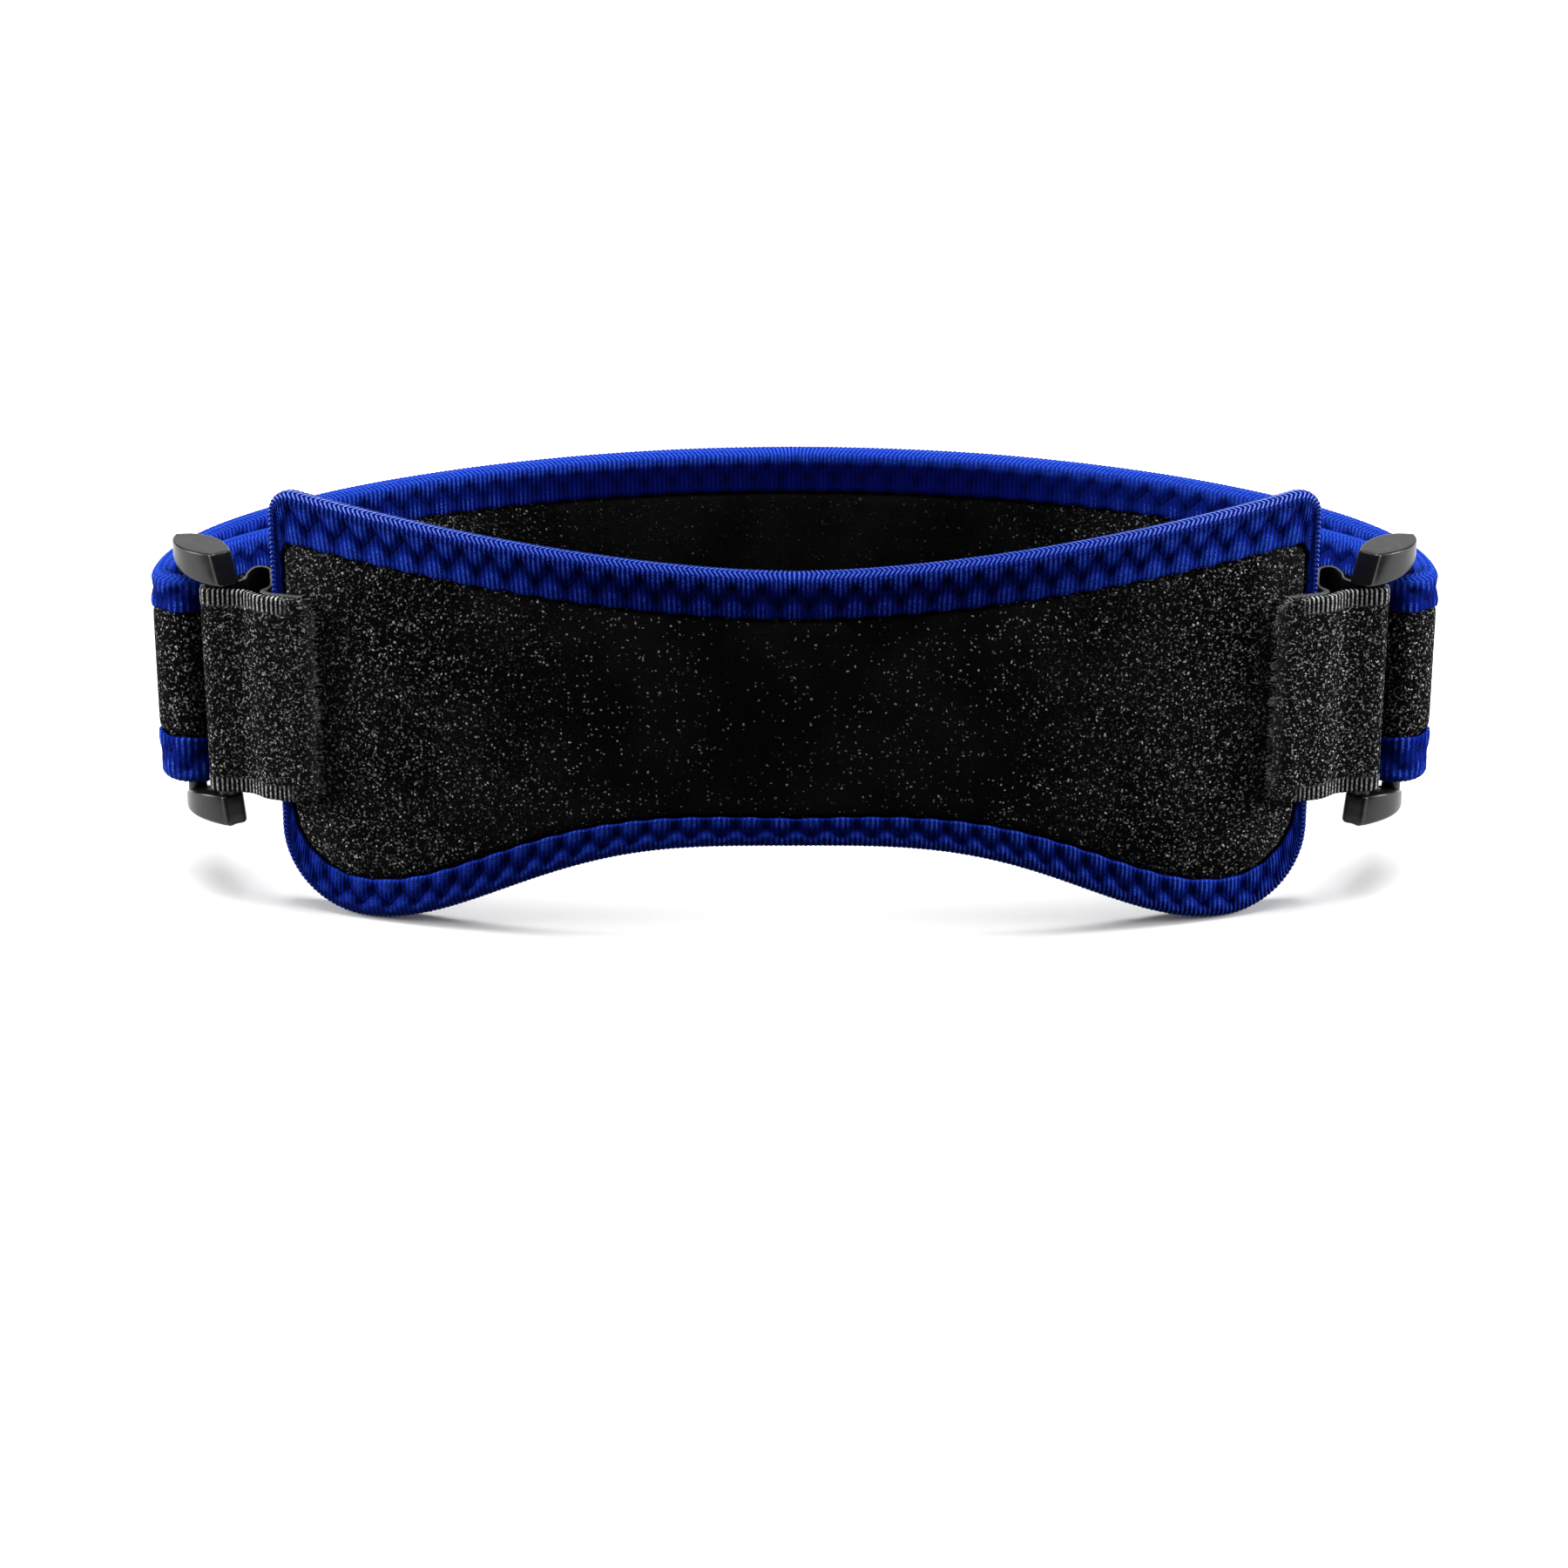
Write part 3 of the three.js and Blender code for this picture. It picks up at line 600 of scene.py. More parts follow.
def rear_path():
    """Dense plan of the rear pad from the end of the left folded tab round the tab bar and the back to
    the right one, with how far the section has grown from the tab's to the back's at each point."""
    bar = strap_bar() - BAR_SPACING * buckle_axis()
    centre = bar + (0, TAB_TURN_RADIUS - TAB_HALF_THICKNESS - TAB_BAR_RADIUS - GAP)
    across, back = TAB_TURN_RADIUS - centre[0], REAR_DEPTH - centre[1]
    turn = np.linspace(math.pi, math.pi / 2, 4001)
    curve = np.stack([across * np.cos(turn), centre[1] + back * np.sin(turn)], -1)
    length = path_lengths(curve)
    tangent = np.gradient(curve, axis=0)
    tangent /= np.linalg.norm(tangent, axis=1, keepdims=True)

    distance = np.linspace(TAB_RETURN_LENGTH, 0, 200, endpoint=False)
    at, run = on_path(distance, length, curve), on_path(distance, length, tangent)
    closed = 2 * TAB_HALF_THICKNESS + GAP + 0.05
    inwards = closed + (2 * TAB_TURN_RADIUS - closed) * (1 - smooth_step(0, TAB_CLOSING_LENGTH, distance))
    folded = np.stack([at[:, 0] + run[:, 1] * inwards, at[:, 1] - run[:, 0] * inwards], -1)
    round_bar = np.linspace(0, math.pi, 121)
    turned = centre + TAB_TURN_RADIUS * np.stack([np.cos(round_bar), -np.sin(round_bar)], -1)
    share = np.linspace(0, 1, 1501)[1:]
    half = np.concatenate([folded, turned, on_path(share * length[-1], length, curve)])
    grown = np.concatenate([np.zeros(len(folded) + len(turned)), share])
    plan = np.concatenate([half, half[-2::-1] * (-1, 1)])
    return plan, np.concatenate([grown, grown[-2::-1]])


REAR_PLAN, REAR_GROWN = rear_path()
REAR_LENGTHS = path_lengths(REAR_PLAN)


def rear_station(along):
    """Plan place, outward normal, heights of both edges, half thickness and both lips of the rear pad."""
    place = on_path(along, REAR_LENGTHS, REAR_PLAN)
    normal = path_normal(along, REAR_LENGTHS, REAR_PLAN, 0.6)
    share = np.interp(along, REAR_LENGTHS, REAR_GROWN)
    grown = np.sin(math.pi / 2 * share)
    upper = TAB_HALF_HEIGHT + (REAR_UPPER_HEIGHT - TAB_HALF_HEIGHT) * grown
    lower = TAB_HALF_HEIGHT + (REAR_LOWER_HEIGHT - TAB_HALF_HEIGHT) * grown
    half = TAB_HALF_THICKNESS + (REAR_HALF_THICKNESS - TAB_HALF_THICKNESS) * smooth_step(
        THICKENING_START, THICKENING_END, share)
    lips = [tab + (REAR_LIP - tab) * grown for tab in (TAB_UPPER_LIP, TAB_LOWER_LIP)]
    return place, normal, upper, lower, half, lips


def rear_point(place, normal, height, offset):
    x = place[..., 0] + normal[..., 0] * offset
    y = place[..., 1] + normal[..., 1] * offset
    return np.stack(np.broadcast_arrays(x, y, MIDDLE_HEIGHT + height), -1)


def rear_fabric():
    """The rear pad: a section of rows from its upper edge down its outer face and up its inner face,
    carried along the plan, with the faces swollen between the lips."""
    along = np.linspace(0, REAR_LENGTHS[-1], 520)
    place, normal, upper, lower, half, lips = rear_station(along)
    edge = half - TAPE_THICKNESS - GAP
    face = half + SWELL
    free = smooth_step(52, 70, along) * smooth_step(52, 70, REAR_LENGTHS[-1] - along)
    start = TAPE_THICKNESS + GAP

    def side(of_edge, sign, lip):
        rows = [(sign * (of_edge - start - PAD_EDGE_DEPTH * (1 - math.cos(a))), edge * math.sin(a))
                for a in np.radians([8, 30, 55, 90])]
        for beyond, loss in [(SHOULDER_START, None), (0.5, 0.8), (0.66, 0.42), (SHOULDER_TOP, 0.2),
                             (1.3, 0.06), (SWELL_REACH, 0)]:
            offset = edge if loss is None else np.maximum(face - loss, edge)
            rows.append((sign * (of_edge - lip - beyond), offset))
        return rows

    top, bottom = side(upper, 1, lips[0]), side(lower, -1, lips[1])
    down = list(top)
    for share in np.linspace(0, 1, 17)[1:-1]:
        height = top[-1][0] + (bottom[-1][0] - top[-1][0]) * share
        swell = (0.3 * math.sin(math.pi * share) + 0.1 * ripple(along, height)) * free
        down.append((height, face + swell))
    down += bottom[::-1]
    rows = [rear_point(place, normal, height, offset) for height, offset in down]
    rows += [rear_point(place, normal, height, -offset) for height, offset in down[::-1]]
    return lattice(np.stack(rows), wrap_rows=True, ends="sections")


def rear_tape_point(along, share, angle, relief, skin, side):
    """A point of one of the rear pad's tapes, as front_tape_point gives for the front one's."""
    place, normal, upper, lower, half, lips = rear_station(along)
    edge, lip = (upper, lips[0]) if side > 0 else (lower, lips[1])
    offset = np.where(skin > 0, half, half - TAPE_THICKNESS)
    depth = tape_depth(angle, relief, skin)
    reach = lip + scallop(along, REAR_LENGTHS[-1])
    height = side * (edge - depth - (reach - depth) * share)
    return rear_point(place, normal, height, (offset + relief * skin) * np.sin(angle))


def rear_tape(side):
    """One of the rear pad's tapes. Its inner lip is pressed nearly flat in the middle of the back."""
    length = REAR_LENGTHS[-1]
    along = np.linspace(0, length, 4 * round(length / RIB_PITCH) + 1)
    lip = rear_station(along)[5][0 if side > 0 else 1] - FOLD_DEPTH
    share, angle, skin = section = tape_section()
    pressed = 0.7 * smooth_step(0.3, 0.75, np.interp(along, REAR_LENGTHS, REAR_GROWN))[None]
    face = 1 - pressed * (angle < 0)
    half = REAR_HALF_THICKNESS
    relief = tape_relief(along[None], share, angle, lip[None], length, half, face) * skin

    def point(*place):
        return rear_tape_point(*place, side)

    return tape_shape(point, along, length, relief, section, half, "sections")


def rear_seam():
    """The seams of both rear tapes, kept a little inside the ends of the tabs."""
    def along_edge(side):
        def point(along, share, angle, relief):
            ones = np.ones_like(along)
            inside = np.clip(along, 0.8, REAR_LENGTHS[-1] - 0.8)
            return rear_tape_point(inside, share, angle * ones, relief * ones, ones, side)
        return point

    length = REAR_LENGTHS[-1]
    return tubes(np.concatenate([seam_threads(length, along_edge(side), False) for side in (1, -1)]))


# Straps.

def strap_path():
    """Dense plan of the left strap's middle: a centripetal Catmull-Rom curve from its sewn end over the
    pad's edge, through the slack arch, round the strap bar and back onto the pad."""
    half = WEBBING_THICKNESS / 2
    end = FRONT_LENGTH / 2
    first = FRONT_HALF_THICKNESS + SWELL + GAP + half
    second = first + WEBBING_THICKNESS + GAP
    x, y = front_point(-end, 0.0, 0.0)[:2]
    axis = buckle_axis()
    inwards = np.array([-axis[1], axis[0]])
    around = STRAP_BAR_RADIUS + GAP + half

    def on_pad(along, offset):
        return front_point(-along, 0.0, offset)[:2]

    points = [on_pad(end - SEWN_LENGTH, first), on_pad(end - SEWN_LENGTH / 2, first),
              on_pad(end - 0.6, first), on_pad(end + 1.1, 0.72 * first), on_pad(end + 1.45, -0.15 * first),
              (x - ARCH_NEAR_LEG, y + 0.5 * ARCH_DEPTH), (x - ARCH_OFFSET + 0.7, y + 0.93 * ARCH_DEPTH),
              (x - ARCH_OFFSET - 0.5, y + 0.97 * ARCH_DEPTH), (x - ARCH_FAR_LEG, y + 0.72 * ARCH_DEPTH),
              (x - ARCH_FAR_LEG - 0.2, y + 0.42 * ARCH_DEPTH)]
    for turn in np.radians(np.array([75, 115, 155, 195, 235, 275]) - 90):
        points.append(strap_bar() + around * (math.cos(turn) * inwards - math.sin(turn) * axis))
    points += [on_pad(end + 4.2, second - 1.7), on_pad(end + 0.4, second - 0.1),
               on_pad(end - SEWN_LENGTH / 2, second), on_pad(end - SEWN_LENGTH + 0.4, second),
               on_pad(end - OVERLAP_LENGTH, second - 1.5)]
    return catmull_rom(np.array(points, float), CURVE_STEPS)


def catmull_rom(points, steps):
    """A centripetal Catmull-Rom curve: each knot is the square root of a span's length further on, and
    each span is the cubic that meets its two end tangents."""
    whole = np.concatenate([[2 * points[0] - points[1]], points, [2 * points[-1] - points[-2]]])
    a, b, c, d = whole[:-3], whole[1:-2], whole[2:-1], whole[3:]
    knots = [np.sqrt(np.linalg.norm(q - p, axis=1, keepdims=True)) for p, q in ((a, b), (b, c), (c, d))]
    before, here, after = knots
    start = ((b - a) / before - (c - a) / (before + here) + (c - b) / here) * here
    end = ((c - b) / here - (d - b) / (here + after) + (d - c) / after) * here
    t = np.linspace(0, 1, steps, endpoint=False)[None, :, None]
    b, c, start, end = (values[:, None, :] for values in (b, c, start, end))
    squared = -3 * b + 3 * c - 2 * start - end
    cubed = 2 * b - 2 * c + start + end
    curve = b + start * t + squared * t**2 + cubed * t**3
    return np.concatenate([curve.reshape(-1, 2), points[-1:]])


def slack_end(plan):
    """Length along the strap at which its slack arch has reached the strap bar."""
    return path_lengths(plan[:SPANS_TO_BAR * CURVE_STEPS + 1])[-1]


def webbing(plan):
    """The strap: rows down its outer face and up its inner face, carried along its plan. Both selvedges
    are ribbed, the field between them is a little uneven, the slack arch is worn flat and thinned on
    its inside, and the free end tapers down to the pad and has its upper corner cut."""
    lengths = path_lengths(plan)
    length = lengths[-1]
    ribs = round(length / RIB_PITCH)
    along = np.linspace(0, length, 4 * ribs + 1)
    place = on_path(along, lengths, plan)[None]
    normal = path_normal(along, lengths, plan, 0.25)[None]
    half = WEBBING_THICKNESS / 2
    selvedge = np.linspace(0.12, SELVEDGE_WIDTH, 8)
    field = np.linspace(SELVEDGE_WIDTH, WEBBING_WIDTH - SELVEDGE_WIDTH, 20)[1:-1]
    down = np.concatenate([selvedge, field, WEBBING_WIDTH - selvedge[::-1]])
    cut = END_CORNER_CUT * (1 - smooth_step(0, END_CORNER_LENGTH, length - along))
    down = np.sqrt(down[:, None] ** 2 + cut[None] ** 2)
    inset = np.minimum(down, WEBBING_WIDTH - down)
    edge = 1 - smooth_step(SELVEDGE_WIDTH - 0.7, SELVEDGE_WIDTH + 0.1, inset)
    rib = np.cos(2 * math.pi * along * ribs / length)[None]
    free = length - along[None]
    ribbed = 0.11 * rib * smooth_step(3, 6, free) - 0.04
    slack = (smooth_step(7, 12, along) * (1 - smooth_step(-3, 1, along - slack_end(plan))))[None]
    relief = (edge * ribbed + (1 - edge) * 0.05 * ripple(along[None] * 1.7, down * 1.7)) * (1 - slack)
    rounding = np.exp(-(inset - cut[None] * 0.9) / 0.22)
    thin = 0.3 * rounding + 0.3 * np.exp(-np.minimum(along[None], free) / 0.2)
    thin = np.minimum(thin, 0.52) * (1 - slack)
    taper = 1.1 * slack + 0.5 * (1 - smooth_step(0, 3.5, free))
    outer = rear_point(place, normal, WEBBING_WIDTH / 2 - down, half + relief - thin - taper)
    inner = rear_point(place, normal, WEBBING_WIDTH / 2 - down, -(half + relief - thin))
    points = np.concatenate([outer, inner[::-1]])
    v = np.concatenate([down, down[::-1], down[:1]])
    return lattice(points, wrap_rows=True, ends="sections", u=np.append(along, length)[None],
                   v=np.concatenate([v, v[:, -1:]], 1), relief=np.concatenate([relief, relief[::-1]]))


def end_fibres(plan, seed):
    """Frayed loops along the strap's free end and its cut corner: each a thin three-sided tube that
    arches from the webbing's end down to the pad, leaning and reaching a little at random."""
    chance = np.random.default_rng(seed)
    count = FIBRE_COUNT
    down = chance.uniform(0.8, WEBBING_WIDTH - 0.4, count)
    back = chance.gamma(1.6, 0.8, count)
    lengths = path_lengths(plan)
    at = np.clip(lengths[-1] - back - END_CORNER_CUT * np.exp(-down / 1.6), 0, None)
    place = on_path(at, lengths, plan)
    run = plan[-1] - plan[-20]
    run = run / np.linalg.norm(run)
    normal = np.array([-run[1], run[0]])
    share = np.linspace(0, 1, 6)[None, :, None]
    lean = chance.uniform(-1.4, 1.4, (count, 1, 1))
    reach = chance.uniform(0.5, 2.4, (count, 1, 1))
    rise = chance.uniform(0.25, 0.6, (count, 1, 1))
    out = WEBBING_THICKNESS / 2 - 0.1 + rise * np.sin(math.pi * share) - 0.25 * share
    up = lean * share + MIDDLE_HEIGHT + WEBBING_WIDTH / 2 - down[:, None, None]
    centre = place[:, None] + reach * share * run + out * normal
    turn = np.radians([90, 210, 330])
    radius = FIBRE_RADIUS * np.sqrt(np.sin(math.pi * (0.08 + 0.84 * share)))[..., None]
    ring = radius * np.stack([np.cos(turn) * normal[0], np.cos(turn) * normal[1], np.sin(turn)], -1)
    return tubes(np.concatenate([centre, up], -1)[:, :, None] + ring)


# Buckles.

def leaf_outline():
    """Closed plan outline of a buckle's end in its own axes, from the tip along the far side, round the
    flat end's two corners and back along the near side, with the place it closes in on when inset."""
    tip = -(BAR_SPACING + BUCKLE_TIP_REACH)
    flat = BUCKLE_FLAT_REACH
    half = BUCKLE_FLAT_WIDTH / 2
    length = flat - tip

    def bezier(points, share):
        share = share[:, None]
        a, b, c, d = (np.array(p, float) for p in points)
        left = 1 - share
        return a * left**3 + 3 * b * share * left**2 + 3 * c * share**2 * left + d * share**3

    share = np.linspace(0, 1, 40)
    far = bezier([(tip, 0), (tip + 0.12 * length, 2.2 * half), (tip + 0.55 * length, 2.5 * half),
                  (flat - 0.7, half)], share)
    near = bezier([(flat - 0.7, -half), (tip + 0.65 * length, -2.2 * half),
                   (tip + 0.2 * length, -1.8 * half), (tip, 0)], share)
    corner = np.radians(np.linspace(90, 0, 8))[1:]
    upper = np.stack([flat - 0.7 + 0.7 * np.cos(corner), half - 0.7 + 0.7 * np.sin(corner)], -1)
    lower = upper[::-1] * (1, -1)
    face = np.stack([np.full(8, flat), np.linspace(half - 0.7, 0.7 - half, 10)[1:-1]], -1)
    outline = np.concatenate([far, upper, face, lower, near[:-1]])
    heart = np.stack([np.clip(outline[:, 0], tip + 1.6, flat - 1.2), 0.12 * outline[:, 1]], -1)
    return outline, heart


def buckle_end(bottom, lower):
    """One end of a buckle: the leaf outline carried up from its underside to its top with both edges
    rounded, and the underside rising to a thin tip. The lower end is the upper one's mirror image,
    and the flat faces of both lean back towards the top."""
    outline, heart = leaf_outline()
    towards = heart - outline
    reach = np.linalg.norm(towards, axis=1, keepdims=True)
    towards /= reach
    from_tip = outline[:, 0] + BAR_SPACING + BUCKLE_TIP_REACH
    lift = BUCKLE_TIP_LIFT * np.clip(1 - from_tip / 12, 0, 1) ** 1.7
    round_top, round_bottom = (0.8, 0.5) if lower else (0.4, 0.5)
    top = BUCKLE_END_HEIGHT
    profile = [(round_bottom, share, "low", 0) for share in (0.96, 0.6, 0.25)]
    profile += [(round_bottom * (1 - math.sin(a)), 0, "low", round_bottom * (1 - math.cos(a)))
                for a in np.radians(np.linspace(0, 90, 6))]
    profile += [(0, 0, "mid", 0.35), (0, 0, "mid", 0.7)]
    profile += [(round_top * (1 - math.cos(a)), 0, "high", round_top * (1 - math.sin(a)))
                for a in np.radians(np.linspace(0, 90, 6))]
    profile += [(round_top, share, "high", -0.08 * math.sin(math.pi / 2 * share))
                for share in (0.25, 0.5, 0.75, 0.96)]
    rings = []
    for inset, share, level, drop in profile:
        plan = outline + towards * (inset + (reach - inset) * share)
        if level == "low":
            height = lift + drop
        elif level == "high":
            height = np.full(len(plan), top - drop)
        else:
            height = lift + round_bottom + (top - round_top - round_bottom - lift) * drop
        rings.append(np.concatenate([plan, height[:, None]], 1))
    points = np.stack(rings)
    if lower:
        points[..., 2] = top - points[..., 2]
    lean = (LOWER_END_LEAN if lower else UPPER_END_LEAN) * (1 - points[..., 2] / top)
    points[..., 0] += lean * smooth_step(-4, BUCKLE_FLAT_REACH, points[..., 0])
    axis = buckle_axis()
    side = np.array([-axis[1], axis[0]])
    plan = strap_bar() + points[..., :1] * axis + points[..., 1:2] * side
    return lattice(np.concatenate([plan, bottom + points[..., 2:]], -1), wrap_columns=True, ends="rings")


def buckle_bar(place, radius):
    """A round bar between the ends of a buckle, flared where it meets them."""
    reach = BUCKLE_OPENING + 3.6
    height = np.concatenate([np.linspace(-reach, -reach + 2.6, 8),
                             np.linspace(2.6 - reach, reach - 2.6, 14)[1:-1],
                             np.linspace(reach - 2.6, reach, 8)])
    turn = np.linspace(0, 2 * math.pi, 28, endpoint=False)
    flare = radius + 0.5 * np.exp(-np.maximum(BUCKLE_OPENING - np.abs(height), 0) / 0.35)
    x = place[0] + flare[:, None] * np.cos(turn)
    y = place[1] + flare[:, None] * np.sin(turn)
    points = np.stack(np.broadcast_arrays(x, y, (MIDDLE_HEIGHT + height)[:, None]), -1)
    return lattice(points, wrap_columns=True, ends="rings")


def buckle():
    bar = strap_bar()
    return together([
        buckle_end(MIDDLE_HEIGHT + BUCKLE_OPENING, False),
        buckle_end(MIDDLE_HEIGHT - BUCKLE_OPENING - BUCKLE_END_HEIGHT, True),
        buckle_bar(bar, STRAP_BAR_RADIUS),
        buckle_bar(bar - BAR_SPACING * buckle_axis(), TAB_BAR_RADIUS),
    ])


# Materials.

# Places of the Mix node's two colour inputs and its colour result.
COLOUR_A = 6
COLOUR_B = 7
COLOUR_RESULT = 2


def add(tree, kind, inputs=(), **settings):
    """A node with its settings and inputs. An input is a value, or a socket that feeds it."""
    node = tree.nodes.new(kind)
    for name, value in settings.items():
        setattr(node, name, value)
    for name, value in dict(inputs).items():
        if isinstance(value, bpy.types.NodeSocket):
            tree.links.new(value, node.inputs[name])
        else:
            node.inputs[name].default_value = value
    return node


def sums(tree, operation, first, second=0.0, third=0.0, clamp=False):
    """A Math node's result."""
    node = add(tree, "ShaderNodeMath", {0: first, 1: second, 2: third}, operation=operation, use_clamp=clamp)
    return node.outputs[0]


def times(tree, first, second, clamp=False):
    return sums(tree, "MULTIPLY", first, second, clamp=clamp)


def scaled(tree, value, factor, offset):
    """A value times a factor, plus an offset."""
    return sums(tree, "MULTIPLY_ADD", value, factor, offset)


def apart(tree, value, centre=0.0):
    """How far a value is from a centre, either way."""
    return sums(tree, "ABSOLUTE", sums(tree, "SUBTRACT", value, centre) if centre else value)


def step(tree, value, start, end, low=0.0, high=1.0):
    """A smooth step of a value from low at start to high at end."""
    limits = {"From Min": start, "From Max": end, "To Min": low, "To Max": high}
    node = add(tree, "ShaderNodeMapRange", {"Value": value, **limits}, interpolation_type="SMOOTHSTEP")
    return node.outputs["Result"]


def noise(tree, vector, scale, detail=2.0, roughness=0.5):
    inputs = {"Vector": vector, "Scale": scale, "Detail": detail, "Roughness": roughness}
    return add(tree, "ShaderNodeTexNoise", inputs).outputs["Fac"]


def blend(tree, share, first, second):
    """A colour between two, by a share."""
    first, second = (colour if isinstance(colour, bpy.types.NodeSocket) else (*colour, 1)
                     for colour in (first, second))
    node = add(tree, "ShaderNodeMix", data_type="RGBA")
    for index, value in (("Factor", share), (COLOUR_A, first), (COLOUR_B, second)):
        if isinstance(value, bpy.types.NodeSocket):
            tree.links.new(value, node.inputs[index])
        else:
            node.inputs[index].default_value = value
    return node.outputs[COLOUR_RESULT]


def parts_of(tree, vector):
    """X, Y and Z of a vector."""
    return add(tree, "ShaderNodeSeparateXYZ", {"Vector": vector}).outputs


def place_on_object(tree):
    return tree.nodes.new("ShaderNodeTexCoord").outputs["Object"]


def cloth_and_relief(tree):
    """The cloth's own length and width in centimetres, and its relief in millimetres."""
    cloth = add(tree, "ShaderNodeUVMap", uv_map="cloth").outputs["UV"]
    return cloth, add(tree, "ShaderNodeAttribute", attribute_name="relief").outputs["Fac"]


def new_group(name, inputs, outputs):
    """A node group with a Vector and named numbers going in, and named numbers coming out."""
    group = bpy.data.node_groups.new(name, "ShaderNodeTree")
    group.interface.new_socket("Vector", in_out="INPUT", socket_type="NodeSocketVector")
    for socket, value in inputs.items():
        made = group.interface.new_socket(socket, in_out="INPUT", socket_type="NodeSocketFloat")
        made.default_value = value
    for socket in outputs:
        group.interface.new_socket(socket, in_out="OUTPUT", socket_type="NodeSocketFloat")
    return group, group.nodes.new("NodeGroupInput").outputs, group.nodes.new("NodeGroupOutput").inputs


def loop_nap_group():
    """Brushed loop cloth: short loops scattered over a dark ground, their bright glints painted into the
    colour. Glint is a mask of those painted glints, Height the loops' relief, and Density the share of the
    cells that hold a glinting one."""
    group, given, made = new_group("loop_nap", {"Scale": 1000.0, "Density": 0.5, "Curl": 0.5},
                                   ("Glint", "Height"))

    def finer(share):
        return times(group, given["Scale"], share)

    bend = add(group, "ShaderNodeTexNoise", {"Vector": given["Vector"], "Scale": finer(0.8), "Detail": 1.0})

    def vectors(operation, inputs):
        return add(group, "ShaderNodeVectorMath", inputs, operation=operation).outputs[0]

    shift = vectors("SUBTRACT", {0: bend.outputs["Color"], 1: (0.5, 0.5, 0.5)})
    shift = vectors("SCALE", {0: shift, "Scale": 0.0009})
    bent = vectors("ADD", {0: given["Vector"], 1: shift})
    cells = add(group, "ShaderNodeTexVoronoi", {"Vector": bent, "Scale": given["Scale"], "Randomness": 1.0})
    chance = add(group, "ShaderNodeSeparateColor", {"Color": cells.outputs["Color"]}).outputs["Red"]
    dot = step(group, cells.outputs["Distance"], 0.36, 0.18)
    lit = sums(group, "LESS_THAN", chance, given["Density"])
    strength = add(group, "ShaderNodeSeparateColor", {"Color": cells.outputs["Color"]}).outputs["Green"]
    strength = scaled(group, sums(group, "POWER", strength, 1.4), 0.88, 0.12)
    dots = times(group, times(group, dot, lit), strength)
    thread = step(group, apart(group, noise(group, bent, finer(0.95), 1.0), 0.5), 0.06, 0.0)
    broken = step(group, noise(group, given["Vector"], finer(1.3), 0.0), 0.5, 0.72)
    threads = times(group, times(group, thread, broken), given["Curl"])
    # The mask of bright dots and threads is the nap's painted glints.
    group.links.new(sums(group, "MAXIMUM", dots, threads), made["Glint"])
    rough = scaled(group, noise(group, bent, finer(1.6), 2.0), 0.7, times(group, thread, 0.5))
    group.links.new(sums(group, "ADD", rough, dots), made["Height"])
    return group


def rib_group():
    """Knitted ribs across a tape, read from the cloth's own length and width in centimetres: fine
    courses within each rib, Shade a mask of painted highlights on the backs of the ribs, and Dash a row of
    long slanting stitches over the fold, with a row of short ones beside it, as a mask for their painted
    highlights. Lean, from 1 to -1, is how far and which way they slant."""
    group, given, made = new_group("knit_ribs", {"Pitch": 0.086, "Course": 0.06, "Lean": 0.0},
                                   ("Shade", "Dash", "Height"))

    def wave(turns):
        return scaled(group, sums(group, "COSINE", times(group, turns, 2 * math.pi)), 0.5, 0.5)

    parts = parts_of(group, given["Vector"])
    waver = noise(group, given["Vector"], 6.0, 2.0)
    around = apart(group, parts["Y"])
    level = sums(group, "MINIMUM", sums(group, "MAXIMUM", parts["Y"], -0.24), 0.24)
    slant = times(group, times(group, apart(group, level, 0.1), -7.0), given["Lean"])
    along = sums(group, "ADD", sums(group, "DIVIDE", parts["X"], given["Pitch"]), slant)
    across = sums(group, "DIVIDE", parts["Y"], given["Course"])
    across = sums(group, "ADD", across, times(group, waver, 1.2))
    rib = wave(along)
    course = wave(sums(group, "ADD", across, times(group, sums(group, "FLOOR", along), 0.5)))
    patch = noise(group, given["Vector"], 26.0, 2.0, 0.6)
    # Painted highlight: the backs of the ribs are lit, in patches.
    lit = times(group, step(group, rib, 0.45, 0.9), step(group, patch, 0.36, 0.6, 0.1, 1.0))
    short = step(group, apart(group, around, 0.17), 0.075, 0.05, 0.0, 0.8)
    rows = sums(group, "MAXIMUM", step(group, around, 0.105, 0.085), short)
    dash = times(group, step(group, rib, 0.6, 0.95), rows)
    group.links.new(lit, made["Shade"])
    group.links.new(times(group, dash, step(group, patch, 0.3, 0.6, 0.35, 1.0)), made["Dash"])
    group.links.new(scaled(group, times(group, rib, course), 0.8, times(group, patch, 0.4)), made["Height"])
    return group


def new_material(name):
    material = bpy.data.materials.new(name)
    material.use_nodes = True
    tree = material.node_tree
    tree.nodes.clear()
    surface = tree.nodes.new("ShaderNodeBsdfPrincipled")
    tree.links.new(surface.outputs[0], tree.nodes.new("ShaderNodeOutputMaterial").inputs["Surface"])
    return material, tree, surface


def bump(tree, surface, height, depth, strength=1.0):
    node = add(tree, "ShaderNodeBump", {"Height": height, "Distance": depth, "Strength": strength})
    tree.links.new(node.outputs["Normal"], surface.inputs["Normal"])


def dress(tree, surface, colour, roughness, specular):
    """Gives the shader its varying colour and roughness, and one specular level."""
    tree.links.new(colour, surface.inputs["Base Color"])
    tree.links.new(roughness, surface.inputs["Roughness"])
    surface.inputs["Specular IOR Level"].default_value = specular


def placed(tree, group, **inputs):
    """What a node group puts out, from its inputs by name."""
    return add(tree, "ShaderNodeGroup", inputs, node_tree=group).outputs


